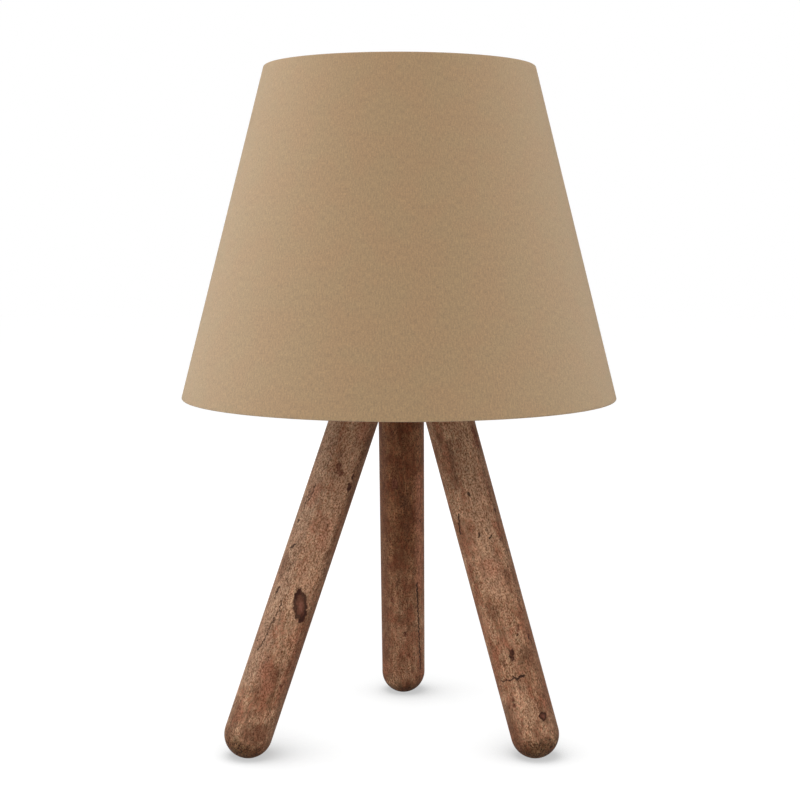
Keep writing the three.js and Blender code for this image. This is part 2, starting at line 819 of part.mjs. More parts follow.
const shade = groupAt(carrierLevel, [
  piece("shade_fabric", shadeFabric(), tanFabric),
  piece("shade_lining", shadeLining(), whiteLining),
  piece("shade_bottom_ring", wireRing(bottomWire), whiteWire),
  piece("shade_frame", shadeFrame(), whiteWire),
  piece("clamp_ring", clampRing(), blackPlastic),
]);

const bulb = groupAt(holderBase + bulbSeat, [
  piece("bulb_contact", bulbContact(), zincSteel),
  piece("bulb_insulator", bulbInsulator(), blackPlastic),
  piece("bulb_cap", bulbCap(), nickel),
  piece("bulb_collar", bulbCollar(), whitePlastic),
  piece("bulb_globe", bulbGlobe(), opalGlass),
]);

const lamp = new THREE.Group();
lamp.add(stand, lampholder, shade, bulb);

export default lamp;
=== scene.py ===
"""Looks of a small table lamp: three leaning stained rods under a turned hub, a
screw lampholder with a candle bulb, and a conical cloth shade on a dropped frame.

Shapes are worked out in millimetres and become metres when their mesh is made.
+Z is up, the front faces -Y, and the origin is on the floor below the shade."""

import bpy
import numpy as np
from mathutils import Matrix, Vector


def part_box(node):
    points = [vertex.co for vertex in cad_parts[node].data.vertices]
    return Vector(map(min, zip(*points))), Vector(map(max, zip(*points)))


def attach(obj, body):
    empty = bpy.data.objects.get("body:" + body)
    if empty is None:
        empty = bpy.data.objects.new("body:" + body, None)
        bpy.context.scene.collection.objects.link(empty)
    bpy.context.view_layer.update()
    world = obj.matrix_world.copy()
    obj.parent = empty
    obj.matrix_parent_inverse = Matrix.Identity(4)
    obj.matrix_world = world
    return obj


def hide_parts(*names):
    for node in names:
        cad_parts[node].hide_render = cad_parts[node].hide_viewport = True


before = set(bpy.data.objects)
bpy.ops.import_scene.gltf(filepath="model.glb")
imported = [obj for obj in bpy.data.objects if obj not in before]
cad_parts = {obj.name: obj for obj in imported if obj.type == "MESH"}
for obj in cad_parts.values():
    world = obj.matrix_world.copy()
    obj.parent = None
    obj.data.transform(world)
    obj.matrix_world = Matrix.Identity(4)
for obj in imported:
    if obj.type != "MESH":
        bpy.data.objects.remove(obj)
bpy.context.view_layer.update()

MM = 0.001
FULL_TURN = 2 * np.pi
FIT_GAP = 0.3

# Legs
LEG_RADIUS = 12.0
LEG_TOP = 199.2
FOOT_CENTRE_HEIGHT = 11.478
SEAT_LEVEL = 199.5
SEAT_CIRCLE = 24.5 / np.sqrt(3)
LEG_SCREW_BITE = 22.6
LEG_SCREW_HOLE_RADIUS = 2.3
LEG_PLACES = {  # foot's reach and turn, then seat's reach and turn
    "left": (83.7, -152.7, SEAT_CIRCLE * 0.9685, -144.8),
    "back": (75.5, 87.9, SEAT_CIRCLE * 1.082, 87.0),
    "right": (77.6, -29.1, SEAT_CIRCLE * 1.2047, -18.1),
}

# Hub, tube and fixings
HUB_THICKNESS = 18.0
HUB_TOP = SEAT_LEVEL + HUB_THICKNESS
NUT_RECESS_DEPTH = 11.0
NUT_RECESS_RADIUS = 10.3
TUBE_RADIUS = 5.0
TUBE_BORE_RADIUS = 4.0
WASHER_RADIUS = 10.0
WASHER_THICKNESS = 1.0
NUT_ACROSS_FLATS = 14.0
NUT_HEIGHT = 3.0
LEG_SCREW_LENGTH = 40.0
LEG_SCREW_SINK = 0.6
BUSH_RADIUS = 4.3
BUSH_BORE_RADIUS = 3.3
BUSH_LEVEL = SEAT_LEVEL + BUSH_RADIUS + FIT_GAP

# Lampholder, measured up from the hub's washer
HOLDER_BASE = HUB_TOP + WASHER_THICKNESS
CAP_RADIUS = 19.45
CAP_HEIGHT = 20.0
SHOULDER_RADIUS = 23.45
SHOULDER_TOP = 22.5
SLEEVE_RADIUS = 19.15
SLEEVE_TOP = 44.0
SHELL_FOOT = 16.5
SHELL_TOP = 42.9

# Bulb, measured up from its seat in the shell
BULB_BASE = HOLDER_BASE + 19.4
BULB_PITCH = 3.62
GLOBE_FOOT = 39.5
GLOBE_RADIUS = 17.5
GLOBE_HEIGHT = 56.5

# Shade
SHADE_FOOT = 175.8
SHADE_HEIGHT = 165.2
SHADE_TOP = SHADE_FOOT + SHADE_HEIGHT
SHADE_FOOT_RADIUS = 110.0
SHADE_TOP_RADIUS = 67.65
SLOPE = np.arctan((SHADE_FOOT_RADIUS - SHADE_TOP_RADIUS) / SHADE_HEIGHT)
CLOTH_THICKNESS = 0.6
LINING_THICKNESS = 0.4
TOP_FOLD_RADIUS = 1.2
FOOT_FOLD_RADIUS = 0.7
HEM_WIDTH = 10.0
LAP_UNDER, LAP_START, LAP_END = 82.0, 86.0, 94.0  # turns in degrees
WIRE_RADIUS = 1.5
WRAP_RADIUS = WIRE_RADIUS + FIT_GAP + CLOTH_THICKNESS
WIRE_INSET = CLOTH_THICKNESS + FIT_GAP + LINING_THICKNESS + FIT_GAP + WIRE_RADIUS
ARM_RADIUS = 1.25
ARM_TURNS = (90.0, 210.0, 330.0)
CARRIER_LEVEL = HOLDER_BASE + SHOULDER_TOP
CARRIER_THICKNESS = 2.0
CARRIER_BORE_RADIUS = 20.15
CARRIER_RADIUS = 26.15

LIT_POINT = (0, 0, 0.2)  # what the lamps face, in metres


# ---- shapes ----
def swung(radius, turn, level):
    """Points at a radius and a level, swung round the lamp's axis by a turn."""
    swing = (radius * np.cos(turn), radius * np.sin(turn), level)
    return np.stack(np.broadcast_arrays(*swing), axis=-1)


def polar(reach, turn, height=0.0):
    """Point at a distance from the lamp's axis, in a direction in degrees."""
    return swung(reach, np.radians(turn), height)


def full_circle(sides):
    """Even turns from zero on, the last one a step before a full turn."""
    return np.arange(sides) * FULL_TURN / sides


def bow(centre, size, start, end, steps):
    """Points from one angle to another on a circle, or on an ellipse of two sizes."""
    angle = np.linspace(start, end, steps)
    return centre + size * np.stack([np.cos(angle), np.sin(angle)], axis=-1)


def unit(vectors):
    """The vectors over their own length."""
    return vectors / np.linalg.norm(vectors, axis=-1, keepdims=True)


def smooth_step(values, low, high):
    """0 below low, 1 above high, and three t squared less two t cubed between."""
    share = np.clip((values - low) / (high - low), 0, 1)
    return share * share * (3 - 2 * share)


def corner_curve(corners, enter, leave, steps):
    """Parabolas that touch both sides of each corner, [step, corner, place]."""
    share = np.linspace(0, 1, steps)[:, None, None]
    return (1 - share) ** 2 * enter + 2 * share * (1 - share) * corners + share**2 * leave


def rounded(outline, size=0.4, closed=True):
    """The outline with a curve at each corner. Both sides of a corner are cut
    back by the size, or by 0.4 of the shorter side, and a parabola that touches
    them joins the cuts. One more point outside each cut keeps the flats flat."""
    corners = np.asarray(outline, float)
    back = np.roll(corners, 1, axis=0) - corners
    ahead = np.roll(corners, -1, axis=0) - corners
    sides = np.minimum(np.linalg.norm(back, axis=1), np.linalg.norm(ahead, axis=1))
    reach = np.minimum(size, 0.4 * sides)[:, None]
    back, ahead = unit(back) * reach, unit(ahead) * reach
    curve = corner_curve(corners, corners + back, corners + ahead, 4)
    points = [corners + 1.2 * back, *curve, corners + 1.2 * ahead]
    points = np.stack(points, axis=1)
    if closed:
        return points.reshape(-1, 2)
    return np.concatenate([corners[:1], points[1:-1].reshape(-1, 2), corners[-1:]])


def finely(outline, step, closed=True):
    """The outline with points added evenly, so that no side is longer than the step."""
    outline = np.asarray(outline, float)
    ends = np.roll(outline, -1, axis=0) if closed else outline[1:]
    starts = outline if closed else outline[:-1]
    counts = np.maximum(1, np.ceil(np.linalg.norm(ends - starts, axis=1) / step)).astype(int)
    side = np.repeat(np.arange(len(starts)), counts)
    before = np.repeat(np.cumsum(counts) - counts, counts)
    share = (np.arange(counts.sum()) - before) / counts[side]
    points = starts[side] + (ends - starts)[side] * share[:, None]
    return points if closed else np.concatenate([points, outline[-1:]])


def turned(outline, sides=96, lift=0.0):
    """Grid of a surface of revolution about +Z: each [radius, height] of the
    outline goes round a full circle, and the height is raised by the lift."""
    radius, level = np.asarray(outline, float).T[:, :, None]
    return swung(radius, full_circle(sides), level + lift)


def reach_and_turn(points):
    """How far the points are from the Z axis, and their turn about it."""
    return np.linalg.norm(points[..., :2], axis=-1), np.arctan2(points[..., 1], points[..., 0])


def sunk(points, radius, depth):
    """The points at the given radius, moved in towards the Z axis by a depth each."""
    reach, _ = reach_and_turn(points)
    depth = depth * (np.abs(reach - radius) < 0.01)
    scale = (reach - depth) / np.maximum(reach, 1e-9)
    return points * np.stack([scale, scale, np.ones_like(scale)], axis=-1)


def fading(height, low, high, band):
    """1 between two heights, with a smooth step to 0 over a band inside each."""
    return smooth_step(height, low, low + band) * smooth_step(-height, -high, band - high)


def threaded(points, radius, pitch, depth, low, high, round_form=False):
    """Points at the given radius, moved inwards by a helix: the phase is height
    over pitch less the turn, the form is a cosine or a triangle of that phase,
    and it fades out over half a pitch at both ends."""
    height = points[..., 2]
    phase = height / pitch - reach_and_turn(points)[1] / FULL_TURN
    cosine, triangle = (1 - np.cos(FULL_TURN * phase)) / 2, np.abs(2 * (phase % 1) - 1)
    form = cosine if round_form else triangle
    return sunk(points, radius, depth * form * fading(height, low, high, pitch / 2))


def ribbed(points, radius, count, depth, low, high):
    """Points at the given radius and between two heights, moved inwards by the
    absolute sine of half the count times the turn, which leaves rounded ribs."""
    form = 1 - np.abs(np.sin(reach_and_turn(points)[1] * count / 2))
    return sunk(points, radius, depth * form * fading(points[..., 2], low, high, 0.4))


def laid(points, direction, origin):
    """Points made about +Z, turned so that +Z becomes the direction, and moved."""
    along = unit(np.asarray(direction, float))
    level = [0.0, 0.0, 1.0] if abs(along[2]) < 0.9 else [1.0, 0.0, 0.0]
    side = unit(np.cross(level, along))
    return points @ np.stack([side, np.cross(along, side), along]) + np.asarray(origin, float)


def cells(index):
    """Corner numbers of each cell of a grid of vertex numbers, [rows, columns, 4]."""
    corners = [index[:-1, :-1], index[:-1, 1:], index[1:, 1:], index[1:, :-1]]
    return np.stack(corners, axis=-1)


def numbered(points):
    """Vertex numbers of a grid [row, column, xyz], its first column once more at
    the end, so that the columns close on themselves."""
    index = np.arange(points.shape[0] * points.shape[1]).reshape(points.shape[:2])
    return np.concatenate([index, index[:, :1]], axis=1)


def mesh_from(name, points, quads, fields=()):
    """Mesh in metres from points in millimetres and four corners a face. A face
    with two equal corners beside each other becomes a triangle. Each field is
    stored as a number for each vertex, for the shaders to read."""
    used, quads = np.unique(quads.reshape(-1, 4), return_inverse=True)
    quads = quads.reshape(-1, 4)
    low_fan, high_fan = quads[:, 0] == quads[:, 1], quads[:, 2] == quads[:, 3]
    faces = quads[~low_fan & ~high_fan].tolist()
    faces += quads[low_fan][:, [0, 2, 3]].tolist() + quads[high_fan][:, :3].tolist()
    mesh = bpy.data.meshes.new(name)
    mesh.from_pydata((points.reshape(-1, 3)[used] * MM).tolist(), [], faces)
    for label, values in dict(fields).items():
        field = mesh.attributes.new(label, "FLOAT", "POINT")
        field.data.foreach_set("value", values.reshape(-1)[used])
    return mesh


def skin(name, points, fields=()):
    """Mesh over a grid of points [row, column, xyz] whose columns close on
    themselves. A row that has shrunk to a point is one vertex with a fan of
    triangles round it. Where the first row isn't one, the last row joins it."""
    index = numbered(points)
    pole = np.ptp(points, axis=1).max(axis=1) < 1e-6
    index[pole] = index[pole, :1]
    if not pole[0]:
        index = np.concatenate([index, index[:1]])
    return mesh_from(name, points, cells(index), fields)


def sheet_skin(name, outer, inner, keep):
    """Mesh of a sheet with two faces over the same grid, its columns closed on
    themselves. Cells that aren't kept are holes, and a wall joins both faces
    along every edge that a kept cell doesn't share with another."""
    index = numbered(outer)
    face = cells(index)
    back = face + index.max() + 1
    none = np.zeros_like(keep[:1])
    above, below = np.concatenate([keep[1:], none]), np.concatenate([none, keep[:-1]])
    neighbours = (below, np.roll(keep, -1, axis=1), above, np.roll(keep, 1, axis=1))
    walls = []
    for side, beside in enumerate(neighbours):
        first, second = side, (side + 1) % 4
        corners = [face[..., second], face[..., first], back[..., first], back[..., second]]
        walls.append(np.stack(corners, axis=-1)[keep & ~beside])
    points = np.concatenate([outer.reshape(-1, 3), inner.reshape(-1, 3)])
    return mesh_from(name, points, np.concatenate([face[keep], back[keep][:, ::-1], *walls]))


def tube(path, radius, sides=20):
    """Grid of a round tube along a path that lies in an upright plane through the
    lamp's axis: each point carries a circle across the path's direction. Both
    ends are closed by a point on the path."""
    ahead = unit(np.gradient(path, axis=0))
    across = unit(np.cross(ahead, np.cross([0.0, 0.0, 1.0], path[-1] - path[0])))
    level = np.cross(across, ahead)
    turn = full_circle(sides)[:, None]
    circle = across[:, None] * np.cos(turn) + level[:, None] * np.sin(turn)
    body = path[:, None] + circle * radius
    ends = [np.repeat(path[end][None, None], sides, axis=1) for end in (0, -1)]
    return np.concatenate([ends[0], body, ends[1]])


# ---- shader trees ----
class Tree:
    """A shader tree, with short ways to add nodes and join their sockets."""

    def __init__(self, tree):
        self.tree = tree

    def add(self, kind, inputs=(), **settings):
        """A node with its settings, and a value or a link for each named input."""
        node = self.tree.nodes.new(kind)
        for name, value in settings.items():
            setattr(node, name, value)
        for socket, value in dict(inputs).items():
            self.feed(node.inputs[socket], value)
        return node

    def feed(self, socket, value):
        if isinstance(value, bpy.types.NodeSocket):
            self.tree.links.new(value, socket)
        else:
            socket.default_value = value

    def math(self, operation, *values):
        return self.add("ShaderNodeMath", enumerate(values), operation=operation).outputs[0]

    def plus(self, first, second):
        return self.math("ADD", first, second)

    def minus(self, first, second):
        return self.math("SUBTRACT", first, second)

    def times(self, first, second):
        return self.math("MULTIPLY", first, second)

    def times_plus(self, first, second, third):
        return self.math("MULTIPLY_ADD", first, second, third)

    def vector(self, operation, *values, output=0):
        node = self.add("ShaderNodeVectorMath", enumerate(values), operation=operation)
        return node.outputs[output]

    def scaled(self, vector, amount):
        inputs = {0: vector, "Scale": amount}
        return self.add("ShaderNodeVectorMath", inputs, operation="SCALE").outputs[0]

    def moved(self, place, offset):
        return self.vector("ADD", place, offset)

    def drawn_out(self, place, share, axis=2):
        """The place made shorter along an axis, which draws a pattern out along it."""
        scale = [1.0, 1.0, 1.0]
        scale[axis] = share
        return self.vector("MULTIPLY", place, scale)

    def parts(self, vector):
        return self.add("ShaderNodeSeparateXYZ", {0: vector}).outputs

    def ramp(self, value, low, high, to_low=0.0, to_high=1.0):
        """A smooth step from one value to another as the input crosses a band."""
        band = {"Value": value, "From Min": low, "From Max": high}
        band.update({"To Min": to_low, "To Max": to_high})
        return self.add("ShaderNodeMapRange", band, interpolation_type="SMOOTHSTEP").outputs[0]

    def noise(self, place, size, detail=2.0, roughness=0.5, output="Fac"):
        """Soft noise whose blotches are about the size across, in the place's unit."""
        values = {"Vector": place, "Scale": 1 / size, "Detail": detail, "Roughness": roughness}
        return self.add("ShaderNodeTexNoise", values).outputs[output]

    def blend(self, share, first, second, how="MIX"):
        inputs = {0: share, 6: first, 7: second}
        return self.add("ShaderNodeMix", inputs, data_type="RGBA", blend_type=how).outputs[2]

    def tinted(self, color, tint):
        return self.blend(1.0, color, tint, "MULTIPLY")

    def group(self, name, **inputs):
        """A group's node: each input is named with _ for a space."""
        node = self.add("ShaderNodeGroup", node_tree=bpy.data.node_groups[name])
        for label, value in inputs.items():
            self.feed(node.inputs[label.replace("_", " ")], value)
        return node.outputs


def shader_group(name, inputs, outputs):
    """An empty group with named sockets: its tree, its input sockets by name, and
    the node that its results go to."""
    tree = bpy.data.node_groups.new(name, "ShaderNodeTree")
    for in_out, sockets in (("INPUT", inputs), ("OUTPUT", outputs)):
        for label, kind in sockets.items():
            tree.interface.new_socket(label, in_out=in_out, socket_type="NodeSocket" + kind)
    nodes = Tree(tree)
    return nodes, nodes.add("NodeGroupInput").outputs, nodes.add("NodeGroupOutput").inputs


def rgba(red, green, blue):
    return (red, green, blue, 1.0)


def build_wood_mark():
    """A mask from the distance to a mark's edge, which is below zero inside it:
    noise moves the edge to and fro, and it fades over the softness."""
    nodes, given, out = shader_group(
        "Wood mark",
        {"Edge": "Float", "Noise": "Float", "Raggedness": "Float", "Softness": "Float"},
        {"Mask": "Float"},
    )
    edge = nodes.times_plus(given["Noise"], given["Raggedness"], given["Edge"])
    low = nodes.times(given["Softness"], -1.0)
    nodes.feed(out["Mask"], nodes.ramp(edge, low, given["Softness"], 1.0, 0.0))


def build_wood_knot():
    """An eye of a knot from the distance round it, which is 1 at its edge: a soft
    body, a ragged dark rim inside its edge, and a pale core."""
    nodes, given, out = shader_group(
        "Wood knot",
        {"Distance": "Float", "Noise": "Float"},
        {"Mask": "Float", "Rim": "Float", "Core": "Float"},
    )
    raggedness = 0.42
    distance = nodes.times_plus(given["Noise"], raggedness, given["Distance"])
    nodes.feed(out["Mask"], nodes.ramp(distance, 0.9, 1.1, 1.0, 0.0))
    outer, inner = nodes.ramp(distance, 0.45, 0.75), nodes.ramp(distance, 0.9, 1.08, 1.0, 0.0)
    nodes.feed(out["Rim"], nodes.times(outer, inner))
    nodes.feed(out["Core"], nodes.ramp(distance, 0.05, 0.42, 1.0, 0.0))


def build_stained_wood():
    """Stained softwood along the place's Z, in millimetres: light, red and dark
    patches whose edges break up into the grain, fine fibres, a granular stain,
    short dark pores, and darker speckled end grain towards the ball end."""
    light, middle = rgba(0.42, 0.24, 0.148), rgba(0.31, 0.157, 0.09)
    red, dark = rgba(0.25, 0.094, 0.052), rgba(0.105, 0.045, 0.022)
    grain_shade, grain_light = rgba(0.48, 0.38, 0.32), rgba(1.52, 1.6, 1.62)
    olive_cast, rosy_cast = rgba(0.93, 1.02, 1.0), rgba(1.09, 0.97, 0.97)
    worn_tint, hole_color = rgba(0.4, 0.37, 0.3), rgba(0.022, 0.011, 0.008)
    stain_tint = rgba(0.36, 0.22, 0.11)
    patches = (  # offset and size in millimetres, the noise's band, share, colour
        ((0.0, 0.0, 0.0), 9.0, (0.36, 0.6), 1.0, light),
        ((31.0, 7.0, 3.0), 6.5, (0.46, 0.64), 0.78, red),
        ((5.0, 43.0, 9.0), 4.5, (0.53, 0.76), 0.62, dark),
    )
    nodes, given, out = shader_group(
        "Stained wood",
        {"Place": "Vector", "Seed": "Vector", "Stain": "Float", "End grain": "Float"},
        {"Color": "Color", "Grain": "Color", "Roughness": "Float", "Height": "Float"},
    )
    place = nodes.moved(given["Place"], given["Seed"])
    fibre = nodes.noise(nodes.drawn_out(place, 0.08), 1.0, 2.0, 0.6)
    grain = nodes.noise(nodes.drawn_out(place, 0.62), 0.62, 1.0, 0.7)
    grit = nodes.noise(nodes.drawn_out(place, 0.5), 1.9, 2.0, 0.7)

    wander_reach, broken_edge = 6.0, 0.45
    long_place = nodes.drawn_out(place, 0.42)
    wander = nodes.noise(long_place, 6.0, 2.0, output="Color")
    wander = nodes.scaled(nodes.vector("SUBTRACT", wander, (0.5,) * 3), wander_reach)
    bent = nodes.moved(long_place, wander)
    color = middle
    for offset, size, band, share, patch_color in patches:
        soft = nodes.noise(nodes.moved(bent, offset), size, 3.0, 0.6)
        broken = nodes.times_plus(nodes.minus(grain, 0.5), broken_edge, soft)
        color = nodes.blend(nodes.times(nodes.ramp(broken, *band), share), color, patch_color)

    pores = nodes.ramp(nodes.noise(nodes.drawn_out(place, 0.3), 0.8, 1.0), 0.66, 0.76)
    tone = nodes.times(
        nodes.ramp(fibre, 0.3, 0.7, 0.88, 1.12), nodes.ramp(grit, 0.3, 0.7, 0.82, 1.18))
    tone = nodes.times(tone, nodes.minus(1.0, nodes.times(pores, 0.5)))
    grain_tint = nodes.blend(nodes.ramp(grain, 0.26, 0.74), grain_shade, grain_light)
    grain_tint = nodes.scaled(grain_tint, tone)
    nodes.feed(out["Grain"], grain_tint)
    cast = nodes.noise(nodes.moved(place, (17.0, 5.0, 51.0)), 1.5, 2.0, 0.8)
    cast_tint = nodes.blend(nodes.ramp(cast, 0.32, 0.68), olive_cast, rosy_cast)
    color = nodes.tinted(nodes.tinted(color, grain_tint), cast_tint)

    ball_edge, ball_foot, edge_wander = 3.0, -8.0, 9.0
    height = nodes.parts(given["Place"])[2]
    edge = nodes.times_plus(nodes.minus(grit, 0.5), edge_wander, height)
    ball = nodes.times(nodes.ramp(edge, ball_foot, ball_edge, 1.0, 0.0), given["End grain"])
    speckle = nodes.add("ShaderNodeTexVoronoi", {"Vector": place, "Scale": 0.72})
    holes = nodes.times(nodes.ramp(speckle.outputs["Distance"], 0.16, 0.44, 1.0, 0.0), ball)
    color = nodes.blend(ball, color, nodes.tinted(color, worn_tint))
    color = nodes.blend(nodes.times(holes, 0.95), color, hole_color)
    color = nodes.blend(given["Stain"], color, nodes.tinted(color, stain_tint))
    nodes.feed(out["Color"], color)
    nodes.feed(out["Roughness"], nodes.ramp(grain, 0.3, 0.7, 0.55, 0.75))
    low_spots = nodes.plus(pores, holes)
    nodes.feed(out["Height"], nodes.minus(nodes.plus(fibre, grain), low_spots))


def build_fine_grain():
    """Even fine noise of one size, with slow cloudiness over it: a tone about
    zero that shades a colour, and a height for the relief."""
    nodes, given, out = shader_group(
        "Fine grain",
        {"Place": "Vector", "Fineness": "Float", "Clouds": "Float"},
        {"Tone": "Float", "Height": "Float"},
    )
    values = {"Vector": given["Place"], "Scale": given["Fineness"], "Detail": 3.0}
    fine = nodes.add("ShaderNodeTexNoise", values).outputs["Fac"]
    cloud_size = 11.0
    slow = nodes.noise(given["Place"], cloud_size, 2.0)
    clouds = nodes.times(nodes.minus(slow, 0.5), given["Clouds"])
    nodes.feed(out["Tone"], nodes.plus(nodes.minus(fine, 0.5), clouds))
    nodes.feed(out["Height"], fine)


def build_plain_weave():
    """Plain weave: along each yarn the height is the absolute sine across it,
    and the yarn on top changes from crossing to crossing. Long upright slubs and
    slow clouds of tone lie over it."""
    slub_tone, fleck_tone, yarn_tone, slub_height = 0.66, 0.62, 0.12, 0.6
    nodes, given, out = shader_group(
        "Plain weave",
        {"Place": "Vector", "Yarn": "Float"},
        {"Tone": "Float", "Warmth": "Float", "Height": "Float"},
    )
    across, along, _ = nodes.parts(given["Place"])
    warp = nodes.math("SINE", nodes.times(across, given["Yarn"]))
    weft = nodes.math("SINE", nodes.times(along, given["Yarn"]))
    over = nodes.ramp(nodes.times(warp, weft), -0.2, 0.2)
    yarns = {0: over, 2: nodes.math("ABSOLUTE", weft), 3: nodes.math("ABSOLUTE", warp)}
    height = nodes.add("ShaderNodeMix", yarns).outputs[0]
    slubs = nodes.noise(nodes.drawn_out(given["Place"], 0.26, axis=1), 0.66, 2.0, 0.6)
    flecks = nodes.noise(nodes.drawn_out(given["Place"], 0.7, axis=1), 0.55, 1.0, 0.6)
    clouds = nodes.noise(given["Place"], 16.0, 2.0)
    tone = nodes.plus(
        nodes.times(nodes.minus(slubs, 0.5), slub_tone),
        nodes.times(nodes.minus(flecks, 0.5), fleck_tone))
    tone = nodes.plus(tone, nodes.times(nodes.minus(height, 0.6), yarn_tone))
    nodes.feed(out["Tone"], tone)
    nodes.feed(out["Warmth"], nodes.ramp(clouds, 0.35, 0.65))
    nodes.feed(out["Height"], nodes.plus(height, nodes.times(slubs, slub_height)))


build_wood_mark()
build_wood_knot()
build_stained_wood()
build_fine_grain()
build_plain_weave()


# ---- materials ----
def new_material(name):
    """A material with its tree, its surface shader and its place in metres."""
    material = bpy.data.materials.new(name)
    material.use_nodes = True
    nodes = Tree(material.node_tree)
    surface = material.node_tree.nodes["Principled BSDF"]
    place = nodes.add("ShaderNodeTexCoord").outputs["Object"]
    return material, nodes, surface, place


def in_millimetres(nodes, place, origin=(0.0, 0.0, 0.0), turn=(0.0, 0.0, 0.0)):
    """The place seen from an origin in metres and a turned frame, in millimetres."""
    values = {"Vector": place, "Location": origin, "Rotation": turn, "Scale": (MM, MM, MM)}
    return nodes.add("ShaderNodeMapping", values, vector_type="TEXTURE").outputs[0]


def add_relief(nodes, surface, height, depth):
    """Bump of a depth in millimetres on the surface's normal."""
    values = {"Height": height, "Distance": depth * MM, "Strength": 1.0}
    nodes.feed(surface.inputs["Normal"], nodes.add("ShaderNodeBump", values).outputs[0])


def grained(name, color, roughness, fineness, tone, relief, clouds=0.3, spread=0.1, metal=0.0):
    """A material of one colour whose tone, roughness and relief follow fine grain:
    its fineness per millimetre, its depth of tone, and its relief in millimetres."""
    material, nodes, surface, place = new_material(name)
    place = in_millimetres(nodes, place)
    grain = nodes.group("Fine grain", Place=place, Fineness=fineness, Clouds=clouds)
    shade = nodes.plus(1.0, nodes.times(grain["Tone"], tone))
    nodes.feed(surface.inputs["Base Color"], nodes.scaled(color[:3], shade))
    rough = nodes.ramp(grain["Tone"], -0.3, 0.3, roughness - spread, roughness + spread)
    nodes.feed(surface.inputs["Roughness"], rough)
    add_relief(nodes, surface, grain["Height"], relief)
    surface.inputs["Metallic"].default_value = metal
    return material


def stained_rod(name, origin, turn, seed, stain, marked=False):
    """Stained wood for one piece, with the marks and knots of a leg's fields. The
    stain goes from its first share low down to its second higher up. On the back
    leg that rise is partly painted shade, darker where the lampshade's shadow falls."""
    material, nodes, surface, place = new_material(name)
    place = in_millimetres(nodes, place, origin, turn)
    # stain share by height: on the back leg its darker top is partly painted shade
    stained = nodes.ramp(nodes.parts(place)[2], *STAIN_AND_SHADE_LEVELS, *stain)
    wood = nodes.group(
        "Stained wood", Place=place, Seed=seed, Stain=stained, End_grain=1.0 if marked else 0.0)
    color, height = wood["Color"], wood["Height"]
    if marked:
        long_place = nodes.drawn_out(place, 0.6)
        coarse = nodes.noise(long_place, 3.0, 2.0, 0.6)
        ragged = nodes.plus(coarse, nodes.noise(long_place, 0.9, 1.0, 0.6))
        ragged = nodes.minus(ragged, 1.0)
        for tone, (mark_color, share, raggedness, softness) in MARK_TONES.items():
            edge = nodes.add("ShaderNodeAttribute", attribute_name=tone).outputs["Fac"]
            mark = nodes.group("Wood mark", Edge=edge, Noise=ragged, Raggedness=raggedness,
                               Softness=softness)
            mask = nodes.times(mark["Mask"], share)
            color = nodes.blend(mask, color, nodes.tinted(wood["Grain"], mark_color))
            height = nodes.minus(height, mask)
        distance = nodes.add("ShaderNodeAttribute", attribute_name="knot").outputs["Fac"]
        knot = nodes.group("Wood knot", Distance=distance, Noise=ragged)
        body, dark_rim, pale_core = (nodes.blend(0.9, color, tint) for tint in KNOT_TONES)
        color = nodes.blend(knot["Mask"], color, body)
        color = nodes.blend(nodes.times(knot["Rim"], 0.9), color, dark_rim)
        color = nodes.blend(nodes.times(knot["Core"], 0.7), color, pale_core)
        height = nodes.plus(nodes.minus(height, knot["Rim"]), knot["Core"])
    nodes.feed(surface.inputs["Base Color"], color)
    nodes.feed(surface.inputs["Roughness"], wood["Roughness"])
    add_relief(nodes, surface, height, 0.12)
    surface.inputs["Specular IOR Level"].default_value = 0.06
    return material


# Tones of the marks in the wood: colour, share, and how ragged and how soft the
# mark's edge is, in millimetres. A knot has a body, a rim and a core.
MARK_TONES = {
    # pale: lighter wood, partly painted light where the lampshade shades the legs' tops and
    # middles
    "pale": (rgba(0.47, 0.275, 0.17), 0.6, 8.0, 3.0),
    # a greyer strip that paints the sheen of a lamp's gloss, kept darker to paint shade on the
    # lit edge
    "bleached": (rgba(0.34, 0.213, 0.142), 0.55, 9.0, 3.5),
    "blush": (rgba(0.33, 0.135, 0.08), 0.6, 6.0, 1.8),
    # patch also draws the long strips down the legs' sides, which are painted shade along their
    # outlines
    "patch": (rgba(0.12, 0.052, 0.028), 0.55, 6.0, 1.2),
    "red": (rgba(0.15, 0.052, 0.03), 0.85, 1.8, 0.45),
    "faint": (rgba(0.08, 0.036, 0.02), 0.6, 0.8, 0.25),
    "crack": (rgba(0.034, 0.015, 0.01), 0.9, 0.28, 0.2),
    "dark": (rgba(0.052, 0.017, 0.011), 0.93, 1.1, 0.32),
}
KNOT_TONES = (
    rgba(0.105, 0.034, 0.021), rgba(0.034, 0.012, 0.008), rgba(0.24, 0.085, 0.06))
